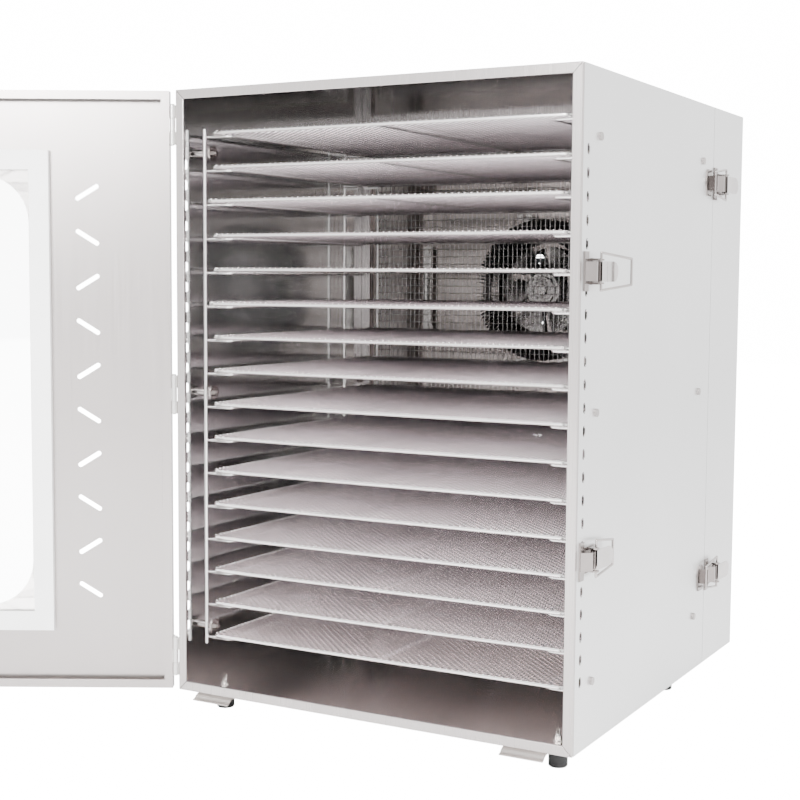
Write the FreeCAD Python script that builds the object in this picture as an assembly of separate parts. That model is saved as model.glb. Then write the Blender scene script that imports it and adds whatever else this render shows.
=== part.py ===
import FreeCAD, Part
import math
import os

# Cabinet food dehydrator with sixteen sliding wire trays, a side-hung glazed door and a
# latched-on rear module that holds two fans and two ring heaters.
# All sizes are millimetres. The model is worked out in a cabinet frame: X = 0 on the centre
# plane, Y = 0 on the front face, +Y to the rear, Z = 0 on the table. ORIGIN_SHIFT then moves
# everything so that the origin is the middle of the ground that the object covers.

# ---- overall ----
WIDTH = 464.0
HEIGHT = 650.0            # casing, without its feet
BODY_DEPTH = 402.0        # drying chamber, front face to seam
MODULE_DEPTH = 115.2      # rear module, seam to back
SEAM_GAP = 0.8
SHEET = 1.0
EPS = 0.2                 # free air between neighbours that only sit side by side

# ---- feet and door-rest lips ----
FOOT_HEIGHT = 25.0
FOOT_RADIUS = 9.75
FOOT_INSET_X = 32.0
FOOT_INSET_Y = 43.0
FOOT_BOLT_RADIUS = 2.5
FOOT_BORE_CLEARANCE = 0.2
FOOT_HEAD_RADIUS = 4.6
FOOT_HEAD_HEIGHT = 3.2
FOOT_COUNTERBORE_RADIUS = 5.4
FOOT_COUNTERBORE_DEPTH = 10.0
FOOT_BOLT_ABOVE_FLOOR = 11.0
NUT_RADIUS = 5.2
NUT_HEIGHT = 4.2
WASHER_RADIUS = 6.2
WASHER_THICKNESS = 1.0
LIP_OUTER_INSET = 26.0
LIP_WIDTH = 46.0
LIP_THICKNESS = 1.2
LIP_REACH = 9.5
LIP_DROP = 5.0
LIP_TAIL = 31.0
LIP_RIVET_Y = 24.0
LIP_RIVET_INSET = 9.0
RIVET_RADIUS = 2.4
RIVET_HEAD = 1.2
RIVET_SHANK = 1.5

# ---- front frame and rear rim ----
TRIM_WIDTH = 10.0
TRIM_THICKNESS = 4.0
RIM_WIDTH = 12.0
RIM_THICKNESS = 12.0

# ---- side vents ----
VENT_COUNT = 24
VENT_END_MARGIN = 68.0
VENT_Y = 17.0
VENT_HEIGHT = 10.5
VENT_WIDTH = 6.5
VENT_DROP = 4.5            # column of vents below the middle

# ---- trays and racks ----
TRAY_COUNT = 16
TRAY_BOTTOM_MARGIN = 56.5
TRAY_TOP_MARGIN = 43.0
TRAY_SIDE_GAP = 20.5
TRAY_FRONT = 30.0
TRAY_REAR_GAP = 22.0
TRAY_FORWARD = {3: 10.0, 6: 8.0}     # trays left a little out at rest
TRAY_WIRE_RADIUS = 2.2
TRAY_CORNER = 9.0
TRAY_MESH = 1.2
TRAY_BAR_WIDTH = 8.0
TRAY_BAR_THICKNESS = 1.2
ROD_RADIUS = 2.0
ROD_WALL_GAP = 9.5
ROD_FRONT_Y = 35.0
ROD_REAR_Y = 328.0
ROD_BOTTOM_MARGIN = 46.0
ROD_TOP_MARGIN = 39.0
SUPPORT_RADIUS = 1.5
SUPPORT_REACH = 43.0
SUPPORT_BEND = 6.0
SUPPORT_CLEARANCE = 0.3
WELD = 0.3
RACK_SCREW_FRONT_Y = 45.0
RACK_SCREW_REAR_Y = 362.0
RACK_SCREW_END_MARGIN = 64.0
RACK_WASHER_RADIUS = 8.0
RACK_SCREW_RADIUS = 2.0
RACK_HEAD_RADIUS = 4.0
RACK_HEAD_HEIGHT = 2.4
RACK_SPACER_RADIUS = 4.4
RACK_SCREW_END = 4.5
TAB_THICKNESS = 1.5
TAB_HEIGHT = 14.0
TAB_OVERHANG = 7.0

# ---- rear module ----
GUARD_Y = 388.0
GUARD_WIRE_RADIUS = 1.5
GUARD_MESH = 1.2
GUARD_SIDE_GAP = 26.0
GUARD_END_GAP = 38.0
GUARD_SCREW_RADIUS = 2.0
GUARD_HEAD_RADIUS = 3.6
GUARD_TAB_WIDTH = 11.0
GUARD_TAB_REACH = 20.0
BULKHEAD_Y = 468.0
INTAKE_COUNT = 10
INTAKE_RING = 42.0
INTAKE_RADIUS = 6.0
FAN_SPACING = 226.0
FAN_RADIUS = 55.0
FAN_HUB_RADIUS = 23.0
FAN_HUB_DEPTH = 14.0
FAN_FRONT_Y = 448.0
FAN_BLADES = 6
FAN_BLADE_WIDTH = 24.0
FAN_BLADE_THICKNESS = 1.2
FAN_BLADE_PITCH = 32.0
SHAFT_RADIUS = 4.0
SHAFT_CLEARANCE = 0.05
SHAFT_HOLE_CLEARANCE = 2.0
MOTOR_RADIUS = 31.0
MOTOR_DEPTH = 40.0
MOTOR_FLANGE_RADIUS = 34.5
MOTOR_FLANGE = 2.0
HEATER_RING_RADIUS = 76.0
HEATER_FIN_RADIUS = 14.0
HEATER_Y = 446.0
HEATER_CLIP_WIDTH = 10.0
HEATER_CLIP_THICKNESS = 1.5
HEATER_CLIP_ANGLES = (107.0, 252.0, 288.0)
PROBE_X = 170.0
PROBE_LENGTH = 112.0
PROBE_STRIP_WIDTH = 11.0
PROBE_STRIP_THICKNESS = 1.5
PROBE_STANDOFF = 9.0
PROBE_RADIUS = 3.0

# ---- controls ----
KNOB_X = 62.0
KNOB_Y = 493.0
KNOB_RADIUS = 17.0
KNOB_HEIGHT = 15.0
KNOB_SKIRT_RADIUS = 20.0
KNOB_SKIRT = 2.5
KNOB_GAP = 0.6
KNOB_GRIP_WIDTH = 9.0
STEM_RADIUS = 3.0
STEM_CLEARANCE = 0.06
STEM_LENGTH = 24.0
SWITCH_LENGTH = 24.0
SWITCH_WIDTH = 14.0
SWITCH_BEZEL = 3.0
SWITCH_DEPTH = 18.0
SWITCH_CLEARANCE = 0.6
SWITCH_RISE = 2.0
SWITCH_TILT = 7.0
SWITCH_WALL = 1.2
SWITCH_PIN_RADIUS = 1.0
SWITCH_PIN_CLEARANCE = 0.05
CONTROL_BOX_WIDTH = 190.0
CONTROL_BOX_DEPTH = 44.0
CONTROL_BOX_HEIGHT = 34.0
CONTROL_BOX_DROP = 20.0
INLET_X = 150.0
INLET_Z = 92.0
INLET_WIDTH = 30.0
INLET_HEIGHT = 24.0
INLET_FLANGE_WIDTH = 46.0
INLET_FLANGE = 2.5
INLET_DEPTH = 22.0
INLET_RECESS_WIDTH = 24.0
INLET_RECESS_HEIGHT = 16.5
INLET_RECESS_DEPTH = 16.0
INLET_PIN_WIDTH = 2.0
INLET_PIN_HEIGHT = 4.0
INLET_PIN_LENGTH = 13.0
INLET_PIN_SPREAD = 7.0
INLET_PIN_RISE = 3.0
COVER_VENT_COUNT = 9
COVER_VENT_PITCH = 11.0
COVER_VENT_LENGTH = 90.0
COVER_VENT_WIDTH = 4.0

# ---- door ----
DOOR_OPEN = 151.0         # rest pose, degrees from closed
DOOR_GAP = 1.0
DOOR_END_GAP = 0.8
DOOR_THICKNESS = 12.0
DOOR_SHEET = 1.0
DOOR_LIP = 9.0
DOOR_SLOT_COUNT = 10
DOOR_SLOT_END_MARGIN = 108.0
DOOR_SLOT_INSET = 91.0
DOOR_SLOT_LENGTH = 29.0
DOOR_SLOT_WIDTH = 5.0
DOOR_SLOT_TILT = 32.0
WINDOW_SIDE = 154.0
WINDOW_END = 90.5
WINDOW_CORNER = 50.0
GASKET_BEYOND_WINDOW_SIDE = 23.0
GASKET_BEYOND_WINDOW_END = 27.0
GASKET_LAP = 4.0
GASKET_INNER_SIDE = 2.0
GASKET_INNER_END = 6.0
GASKET_THICKNESS = 3.0
GLASS_THICKNESS = 4.0

# ---- door hinges ----
HINGE_OUT = 3.6
HINGE_RADIUS = 3.0
HINGE_HEIGHT = 42.0
HINGE_KNUCKLE_GAP = 0.3
HINGE_LEAF = 1.5
HINGE_LEAF_WIDTH = 12.0
HINGE_RELIEF = 3.6
HINGE_PIN_RADIUS = 1.5
HINGE_PIN_CLEARANCE = 0.05
HINGE_PIN_HEAD = 2.3
HINGE_END_MARGIN = 37.0

# ---- draw latches; local axes: u along the pull, v out of the panel, w along the pivot ----
FRONT_LATCH_Y = 31.0
FRONT_LATCH_SPACING = 273.4
FRONT_LATCH_DROP = 2.4     # middle of the pair below mid-height
REAR_LATCH_BEHIND_SEAM = 22.5
REAR_LATCH_SPACING = 457.5
REAR_LATCH_RISE = 9.2      # middle of the pair above mid-height
LATCH_PLATE = 1.5
LATCH_HALF_WIDTH = 12.5
LATCH_FRONT = 22.0
LATCH_WING_HALF_WIDTH = 18.5
LATCH_WING_BACK = 12.0
LATCH_BACK = 15.0
LATCH_PIVOT_HEIGHT = 7.5
LATCH_EAR_RADIUS = 4.2
LATCH_EAR_INNER = 10.2
LATCH_EAR_OUTER = 11.7
LATCH_PIN_RADIUS = 1.5
LATCH_PIN_CLEARANCE = 0.05
LATCH_HOOD_FRONT = 21.5
LATCH_HOOD_BACK = 11.0
LATCH_HOOD_HEIGHT = 10.0
LATCH_HOOD_HALF_WIDTH = 9.0
LEVER_HALF_WIDTH = 9.5
LEVER_PLATE = 1.2
LEVER_TOP = 10.9
LEVER_FRONT = 2.2
LEVER_CHEEK_BACK = 10.0
LEVER_CHEEK_BOTTOM = 3.9
LEVER_BEND = 12.0
LEVER_TAB = 24.5
LEVER_TAB_LIFT = 3.0
BAIL_RADIUS = 1.25
BAIL_BEHIND_PIVOT = 6.0
BAIL_HEIGHT = 6.5
BAIL_LENGTH = 42.0
BAIL_SHOULDER = 17.75
BAIL_TIP = 12.5
BAIL_INNER = 7.5
BAIL_REST_UPPER = 158.0
BAIL_REST_LOWER = 179.0
KEEPER_PLATE = 1.5
KEEPER_HALF_WIDTH = 15.0
KEEPER_EDGE_RADIUS = 24.0
KEEPER_LIP_HALF_WIDTH = 8.4
KEEPER_LIP_RISE = 7.5
KEEPER_CLEARANCE = 0.4
REAR_KEEPER_FRONT = 16.0

# ---- worked out from the sizes above ----
HALF = WIDTH / 2
DEPTH = BODY_DEPTH + SEAM_GAP + MODULE_DEPTH
FLOOR_Z = FOOT_HEIGHT
TOP_Z = FLOOR_Z + HEIGHT
MID_Z = FLOOR_Z + HEIGHT / 2
MODULE_Y = BODY_DEPTH + SEAM_GAP
TRAY_HALF = HALF - SHEET - TRAY_SIDE_GAP
TRAY_BACK = BODY_DEPTH - TRAY_REAR_GAP
TRAY_PITCH = (HEIGHT - TRAY_BOTTOM_MARGIN - TRAY_TOP_MARGIN) / (TRAY_COUNT - 1)
HINGE_X = -HALF - HINGE_OUT
HINGE_Y = -DOOR_GAP / 2
DOOR_BACK = -DOOR_GAP
DOOR_FRONT = -DOOR_GAP - DOOR_THICKNESS
REAR_LATCH_Y = MODULE_Y + REAR_LATCH_BEHIND_SEAM
SHAFT_BACK_Y = BULKHEAD_Y + 30.0


def vec(x, y, z):
    """A point or direction."""
    return FreeCAD.Vector(x, y, z)


def box(x0, x1, y0, y1, z0, z1):
    """A block between two corners."""
    return Part.makeBox(x1 - x0, y1 - y0, z1 - z0, vec(x0, y0, z0))


def rod(start, end, radius):
    """A round bar from start to end."""
    run = end - start
    return Part.makeCylinder(radius, run.Length, start, run)


def elbow(centre, axis, bend_radius, wire_radius, start_direction):
    """A quarter ring of wire about axis, beginning at centre + bend_radius * start_direction."""
    ring = Part.makeTorus(bend_radius, wire_radius, vec(0, 0, 0), vec(0, 0, 1), -180, 180, 90)
    turn = FreeCAD.Rotation(start_direction, axis.cross(start_direction), axis, "XYZ")
    ring.Placement = FreeCAD.Placement(centre, turn)
    return ring


def fuse(shapes):
    """One solid from several that meet."""
    first = shapes[0]
    return first.fuse(shapes[1:]).removeSplitter() if len(shapes) > 1 else first


def prism(points, direction):
    """A flat polygon pushed along direction."""
    wire = Part.makePolygon(points + [points[0]])
    return Part.Face(wire).extrude(direction)


def turned(shape, point, axis, degrees):
    """A copy of shape turned about an axis through point."""
    copy = shape.copy()
    copy.rotate(point, axis, degrees)
    return copy


def moved(shape, x, y, z):
    """A copy of shape shifted by x, y, z."""
    copy = shape.copy()
    copy.translate(vec(x, y, z))
    return copy


def spread(low, high, count):
    """Evenly spaced values from low to high, both included."""
    return [low + (high - low) * i / (count - 1) for i in range(count)]


def levels():
    """Heights of the tray frames' centre lines, top tray first."""
    first = TOP_Z - TRAY_TOP_MARGIN
    return [first - i * TRAY_PITCH for i in range(TRAY_COUNT)]


def support_level(tray_z):
    """Height of the support wire's centre line under a tray."""
    return tray_z - TRAY_WIRE_RADIUS - SUPPORT_CLEARANCE - SUPPORT_RADIUS


def fan_heights():
    """Heights of the two fan axes, lower first."""
    return [MID_Z - FAN_SPACING / 2, MID_Z + FAN_SPACING / 2]


# ---------------- casing ----------------
def vent_cuts(x0, x1):
    """Round-ended upright vent slots near the front edge of a side panel."""
    cuts = []
    low = FLOOR_Z + VENT_END_MARGIN + VENT_HEIGHT / 2 - VENT_DROP
    high = TOP_Z - VENT_END_MARGIN - VENT_HEIGHT / 2 - VENT_DROP
    flat = (VENT_HEIGHT - VENT_WIDTH) / 2
    for z in spread(low, high, VENT_COUNT):
        cuts.append(box(x0, x1, VENT_Y - VENT_WIDTH / 2, VENT_Y + VENT_WIDTH / 2, z - flat, z + flat))
        for end in (z - flat, z + flat):
            cuts.append(rod(vec(x0, VENT_Y, end), vec(x1, VENT_Y, end), VENT_WIDTH / 2))
    return cuts


def rack_screw_places():
    """Y and Z of the six rack screws of one side."""
    rows = spread(FLOOR_Z + RACK_SCREW_END_MARGIN, TOP_Z - RACK_SCREW_END_MARGIN, 3)
    return [(y, z) for y in (RACK_SCREW_FRONT_Y, RACK_SCREW_REAR_Y) for z in rows]


def side_panel(side):
    """Flat side sheet with its vent slots and screw holes; side is -1 left or 1 right."""
    x0, x1 = sorted((side * HALF, side * (HALF - SHEET)))
    panel = box(x0, x1, TRIM_THICKNESS, BODY_DEPTH, FLOOR_Z, TOP_Z)
    cuts = vent_cuts(x0 - 1, x1 + 1)
    for y, z in rack_screw_places():
        cuts.append(rod(vec(x0 - 1, y, z), vec(x1 + 1, y, z), RACK_SCREW_RADIUS + EPS / 2))
    return panel.cut(cuts)


def foot_places():
    """X and Y of the four feet."""
    return [
        (x, y)
        for x in (-HALF + FOOT_INSET_X, HALF - FOOT_INSET_X)
        for y in (FOOT_INSET_Y, BODY_DEPTH - FOOT_INSET_Y)
    ]


def lip_spans():
    """Low and high X of the two door-rest lips."""
    outer = HALF - LIP_OUTER_INSET
    return [(-outer, -outer + LIP_WIDTH), (outer - LIP_WIDTH, outer)]


def lip_rivet_places():
    """X and Y of the rivets that hold the two lips."""
    places = []
    for low, high in lip_spans():
        places += [(low + LIP_RIVET_INSET, LIP_RIVET_Y), (high - LIP_RIVET_INSET, LIP_RIVET_Y)]
    return places


def top_panel():
    """Roof sheet between the two sides."""
    return box(-HALF + SHEET, HALF - SHEET, TRIM_THICKNESS, BODY_DEPTH, TOP_Z - SHEET, TOP_Z)


def floor_panel():
    """Floor sheet between the two sides, drilled for feet and lip rivets."""
    panel = box(-HALF + SHEET, HALF - SHEET, TRIM_THICKNESS, BODY_DEPTH, FLOOR_Z, FLOOR_Z + SHEET)
    cuts = []
    for x, y in foot_places():
        cuts.append(rod(vec(x, y, FLOOR_Z - 1), vec(x, y, FLOOR_Z + SHEET + 1), FOOT_BOLT_RADIUS + EPS))
    for x, y in lip_rivet_places():
        cuts.append(rod(vec(x, y, FLOOR_Z - 1), vec(x, y, FLOOR_Z + SHEET + 1), RIVET_SHANK + EPS / 2))
    return panel.cut(cuts)


def mitred_frame(half_width, z0, z1, width, y0, y1):
    """Four strips with mitred corners, as four solids."""
    outer = [(-half_width, z0), (half_width, z0), (half_width, z1), (-half_width, z1)]
    inner = [
        (-half_width + width, z0 + width),
        (half_width - width, z0 + width),
        (half_width - width, z1 - width),
        (-half_width + width, z1 - width),
    ]
    strips = []
    for i in range(4):
        k = (i + 1) % 4
        corners = [outer[i], outer[k], inner[k], inner[i]]
        strips.append(prism([vec(x, y0, z) for x, z in corners], vec(0, y1 - y0, 0)))
    return Part.makeCompound(strips)


def front_frame():
    """Bright mitred trim round the chamber's mouth."""
    return mitred_frame(HALF, FLOOR_Z, TOP_Z, TRIM_WIDTH, 0, TRIM_THICKNESS)


def rear_rim():
    """Inward flange round the chamber's rear opening."""
    half = HALF - SHEET
    y0 = BODY_DEPTH - RIM_THICKNESS
    rim = mitred_frame(half, FLOOR_Z + SHEET, TOP_Z - SHEET, RIM_WIDTH, y0, BODY_DEPTH)
    cuts = [rod(vec(x, y0 - 1, z), vec(x, BODY_DEPTH + 1, z), GUARD_SCREW_RADIUS + EPS / 2)
            for x, z in guard_screw_places()]
    return rim.cut(cuts)


# ---------------- feet, lips and their fasteners ----------------
def rubber_feet():
    """Four round feet, counterbored from below."""
    feet = []
    for x, y in foot_places():
        foot = rod(vec(x, y, 0), vec(x, y, FOOT_HEIGHT), FOOT_RADIUS)
        bore = rod(vec(x, y, -1), vec(x, y, FOOT_HEIGHT + 1), FOOT_BOLT_RADIUS + FOOT_BORE_CLEARANCE)
        recess = rod(vec(x, y, -1), vec(x, y, FOOT_COUNTERBORE_DEPTH), FOOT_COUNTERBORE_RADIUS)
        feet.append(foot.cut([bore, recess]))
    return Part.makeCompound(feet)


def hexagon(centre, direction, radius, height):
    """A hexagonal nut blank along +Z."""
    points = []
    for i in range(6):
        a = math.radians(60 * i + direction)
        points.append(centre + vec(radius * math.cos(a), radius * math.sin(a), 0))
    return prism(points, vec(0, 0, height))


def foot_bolts():
    """Bolts up through the feet and floor, each with its washer and nut."""
    bolts = []
    deck = FLOOR_Z + SHEET
    for x, y in foot_places():
        seat = FOOT_COUNTERBORE_DEPTH
        head = rod(vec(x, y, seat - FOOT_HEAD_HEIGHT), vec(x, y, seat), FOOT_HEAD_RADIUS)
        shank = rod(vec(x, y, seat), vec(x, y, deck + FOOT_BOLT_ABOVE_FLOOR), FOOT_BOLT_RADIUS)
        washer = rod(vec(x, y, deck), vec(x, y, deck + WASHER_THICKNESS), WASHER_RADIUS)
        nut = hexagon(vec(x, y, deck + WASHER_THICKNESS), 15, NUT_RADIUS, NUT_HEIGHT)
        bolts.append(fuse([head, shank, washer, nut]))
    return Part.makeCompound(bolts)


def lip_rivet(x, y):
    """One rivet through floor and lip, headed on both sides."""
    low = FLOOR_Z - LIP_THICKNESS
    high = FLOOR_Z + SHEET
    shank = rod(vec(x, y, low - RIVET_HEAD), vec(x, y, high + RIVET_HEAD), RIVET_SHANK)
    heads = [
        rod(vec(x, y, low - RIVET_HEAD), vec(x, y, low), RIVET_RADIUS),
        rod(vec(x, y, high), vec(x, y, high + RIVET_HEAD), RIVET_RADIUS),
    ]
    return fuse([shank] + heads)


def door_rest_lips():
    """Two riveted ogee lips under the front edge that take the closing door's weight."""
    lips = []
    top = FLOOR_Z
    start = vec(0, 0, top)
    middle = vec(0, -LIP_REACH / 2, top - LIP_DROP / 2)
    end = vec(0, -LIP_REACH, top - LIP_DROP)
    bulge = LIP_DROP / 5
    upper_knee = vec(0, -LIP_REACH / 4, top - LIP_DROP / 4 + bulge / 2)
    lower_knee = vec(0, -3 * LIP_REACH / 4, top - 3 * LIP_DROP / 4 - bulge / 2)
    down = vec(0, 0, -LIP_THICKNESS)
    edges = [
        Part.LineSegment(vec(0, LIP_TAIL, top), start).toShape(),
        Part.Arc(start, upper_knee, middle).toShape(),
        Part.Arc(middle, lower_knee, end).toShape(),
        Part.LineSegment(end, end + down).toShape(),
        Part.Arc(end + down, lower_knee + down, middle + down).toShape(),
        Part.Arc(middle + down, upper_knee + down, start + down).toShape(),
        Part.LineSegment(start + down, vec(0, LIP_TAIL, top) + down).toShape(),
        Part.LineSegment(vec(0, LIP_TAIL, top) + down, vec(0, LIP_TAIL, top)).toShape(),
    ]
    face = Part.Face(Part.Wire(edges))
    for low, high in lip_spans():
        lip = moved(face.extrude(vec(high - low, 0, 0)), low, 0, 0)
        rivets = [lip_rivet(x, y) for x, y in lip_rivet_places() if low < x < high]
        lips.append(fuse([lip] + rivets))
    return Part.makeCompound(lips)


# ---------------- racks ----------------
def support_wire(side, z):
    """One U of wire: two legs in from the rods and a run along the tray's edge."""
    wall = side * (HALF - SHEET)
    x_out = wall - side * (ROD_WALL_GAP + ROD_RADIUS)
    x_in = wall - side * SUPPORT_REACH
    front = ROD_FRONT_Y + ROD_RADIUS + SUPPORT_RADIUS - WELD
    rear = ROD_REAR_Y - ROD_RADIUS - SUPPORT_RADIUS + WELD
    x_bend = x_in + side * SUPPORT_BEND
    out = vec(side, 0, 0)
    pieces = [
        rod(vec(x_out, front, z), vec(x_bend, front, z), SUPPORT_RADIUS),
        rod(vec(x_in, front + SUPPORT_BEND, z), vec(x_in, rear - SUPPORT_BEND, z), SUPPORT_RADIUS),
        rod(vec(x_bend, rear, z), vec(x_out, rear, z), SUPPORT_RADIUS),
        elbow(vec(x_bend, front + SUPPORT_BEND, z), vec(0, 0, -side), SUPPORT_BEND, SUPPORT_RADIUS,
              vec(0, -1, 0)),
        elbow(vec(x_bend, rear - SUPPORT_BEND, z), vec(0, 0, -side), SUPPORT_BEND, SUPPORT_RADIUS, -out),
    ]
    return fuse(pieces)


def tab_faces(side):
    """X of the outer and inner face of the rack's fixing tabs."""
    rod_x = HALF - SHEET - ROD_WALL_GAP - ROD_RADIUS
    outer = rod_x - ROD_RADIUS + WELD
    return side * outer, side * (outer - TAB_THICKNESS)


def fixing_tab(side, rod_y, screw_y, z):
    """Flat tab from a rod to its screw."""
    x0, x1 = sorted(tab_faces(side))
    half = TAB_HEIGHT / 2
    tab = box(x0, x1, rod_y - ROD_RADIUS, screw_y + TAB_OVERHANG, z - half, z + half)
    hole = rod(vec(x0 - 1, screw_y, z), vec(x1 + 1, screw_y, z), RACK_SCREW_RADIUS + EPS / 2)
    return tab.cut(hole)


def rack(side):
    """Two upright rods, the fixing tabs and the support wires, all welded together."""
    x = side * (HALF - SHEET - ROD_WALL_GAP - ROD_RADIUS)
    low = FLOOR_Z + ROD_BOTTOM_MARGIN
    high = TOP_Z - ROD_TOP_MARGIN
    solids = [rod(vec(x, y, low), vec(x, y, high), ROD_RADIUS) for y in (ROD_FRONT_Y, ROD_REAR_Y)]
    solids += [support_wire(side, support_level(z)) for z in levels()]
    for y, z in rack_screw_places():
        rod_y = ROD_FRONT_Y if y == RACK_SCREW_FRONT_Y else ROD_REAR_Y
        solids.append(fixing_tab(side, rod_y, y, z))
    return Part.makeCompound(solids)


def rack_screws():
    """Screws through the side sheets, each with its spacer, washer and nut."""
    screws = []
    for side in (-1, 1):
        outside = side * HALF
        wall = side * (HALF - SHEET)
        tab_outer, tab_inner = tab_faces(side)
        back = tab_inner - side * WASHER_THICKNESS
        for y, z in rack_screw_places():
            parts = [
                rod(vec(outside, y, z), vec(outside + side * RACK_HEAD_HEIGHT, y, z), RACK_HEAD_RADIUS),
                rod(vec(outside, y, z), vec(back - side * RACK_SCREW_END, y, z), RACK_SCREW_RADIUS),
                rod(vec(wall, y, z), vec(tab_outer, y, z), RACK_SPACER_RADIUS),
                rod(vec(tab_inner, y, z), vec(back, y, z), RACK_WASHER_RADIUS),
            ]
            nut = hexagon(vec(0, 0, 0), 0, RACK_HEAD_RADIUS, 3.0)
            nut.Placement = FreeCAD.Placement(
                vec(back, y, z), FreeCAD.Rotation(vec(0, 0, 1), vec(-side, 0, 0))
            )
            screws.append(fuse(parts + [nut]))
    return Part.makeCompound(screws)


# ---------------- trays ----------------
def tray_blank():
    """One tray at height zero: bent wire frame, mesh deck and the stiffener bar under it."""
    r = TRAY_WIRE_RADIUS
    x = TRAY_HALF - r
    y0 = TRAY_FRONT + r
    y1 = TRAY_BACK - r
    c = TRAY_CORNER
    up = vec(0, 0, 1)
    pieces = [
        rod(vec(-x + c, y0, 0), vec(x - c, y0, 0), r),
        rod(vec(x, y0 + c, 0), vec(x, y1 - c, 0), r),
        rod(vec(-x + c, y1, 0), vec(x - c, y1, 0), r),
        rod(vec(-x, y0 + c, 0), vec(-x, y1 - c, 0), r),
        elbow(vec(x - c, y0 + c, 0), up, c, r, vec(0, -1, 0)),
        elbow(vec(x - c, y1 - c, 0), up, c, r, vec(1, 0, 0)),
        elbow(vec(-x + c, y1 - c, 0), up, c, r, vec(0, 1, 0)),
        elbow(vec(-x + c, y0 + c, 0), up, c, r, vec(-1, 0, 0)),
    ]
    inset = c * (1 - math.sqrt(0.5))
    half = TRAY_MESH / 2
    outline = [
        vec(-x + c, y0, -half), vec(x - c, y0, -half), vec(x - inset, y0 + inset, -half),
        vec(x, y0 + c, -half), vec(x, y1 - c, -half), vec(x - inset, y1 - inset, -half),
        vec(x - c, y1, -half), vec(-x + c, y1, -half), vec(-x + inset, y1 - inset, -half),
        vec(-x, y1 - c, -half), vec(-x, y0 + c, -half), vec(-x + inset, y0 + inset, -half),
    ]
    deck = prism(outline, vec(0, 0, TRAY_MESH))
    bar = box(-TRAY_BAR_WIDTH / 2, TRAY_BAR_WIDTH / 2, y0, y1, -half - TRAY_BAR_THICKNESS + EPS, -half + EPS)
    return fuse(pieces + [deck, bar])


# ---------------- rear module ----------------
def module_wrap():
    """Folded sleeve of the rear module: roof, floor and two sides in one sheet."""
    y0 = MODULE_Y
    y1 = MODULE_Y + MODULE_DEPTH - SHEET
    outer = box(-HALF, HALF, y0, y1, FLOOR_Z, TOP_Z)
    inner = box(-HALF + SHEET, HALF - SHEET, y0 - 1, y1 + 1, FLOOR_Z + SHEET, TOP_Z - SHEET)
    cuts = [inner]
    for x in (-KNOB_X, KNOB_X):
        cuts.append(
            rod(vec(x, KNOB_Y, TOP_Z - SHEET - 1), vec(x, KNOB_Y, TOP_Z + 1), STEM_RADIUS + STEM_CLEARANCE)
        )
    half_x = SWITCH_LENGTH / 2
    half_y = SWITCH_WIDTH / 2
    cuts.append(
        box(-half_x, half_x, KNOB_Y - half_y, KNOB_Y + half_y, TOP_Z - SHEET - 1, TOP_Z + 1)
    )
    return outer.cut(cuts)


def module_cover():
    """Back sheet of the rear module, louvred behind each motor and cut for the inlet."""
    y1 = DEPTH
    panel = box(-HALF, HALF, y1 - SHEET, y1, FLOOR_Z, TOP_Z)
    cuts = []
    flat = COVER_VENT_LENGTH / 2 - COVER_VENT_WIDTH / 2
    for z in fan_heights():
        for i in range(COVER_VENT_COUNT):
            level = z + (i - (COVER_VENT_COUNT - 1) / 2) * COVER_VENT_PITCH
            half = COVER_VENT_WIDTH / 2
            cuts.append(box(-flat, flat, y1 - SHEET - 1, y1 + 1, level - half, level + half))
            for x in (-flat, flat):
                cuts.append(rod(vec(x, y1 - SHEET - 1, level), vec(x, y1 + 1, level), half))
    x0 = INLET_X - INLET_WIDTH / 2 - EPS
    x1 = INLET_X + INLET_WIDTH / 2 + EPS
    z0 = FLOOR_Z + INLET_Z - INLET_HEIGHT / 2 - EPS
    z1 = FLOOR_Z + INLET_Z + INLET_HEIGHT / 2 + EPS
    cuts.append(box(x0, x1, y1 - SHEET - 1, y1 + 1, z0, z1))
    return panel.cut(cuts)


def bulkhead():
    """Inner back plate that carries the motors, heaters and probe, with air intakes behind the fans."""
    z0 = FLOOR_Z + SHEET
    z1 = TOP_Z - SHEET
    panel = box(-HALF + SHEET, HALF - SHEET, BULKHEAD_Y, BULKHEAD_Y + SHEET, z0, z1)
    cuts = []
    for z in fan_heights():
        reach = SHAFT_RADIUS + SHAFT_HOLE_CLEARANCE
        cuts.append(rod(vec(0, BULKHEAD_Y - 1, z), vec(0, BULKHEAD_Y + SHEET + 1, z), reach))
        for i in range(INTAKE_COUNT):
            a = 2 * math.pi * i / INTAKE_COUNT
            x = INTAKE_RING * math.cos(a)
            h = z + INTAKE_RING * math.sin(a)
            cuts.append(rod(vec(x, BULKHEAD_Y - 1, h), vec(x, BULKHEAD_Y + SHEET + 1, h), INTAKE_RADIUS))
    return panel.cut(cuts)


def guard_limits():
    """Half width, low and high Z of the guard's frame wire."""
    return HALF - GUARD_SIDE_GAP, FLOOR_Z + GUARD_END_GAP, TOP_Z - GUARD_END_GAP


def guard_screw_places():
    """X and Z of the six screws that hold the guard to the rear rim."""
    half, z0, z1 = guard_limits()
    return [(side * (half + GUARD_TAB_REACH - 5), z) for side in (-1, 1) for z in spread(z0 + 40, z1 - 40, 3)]


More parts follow.
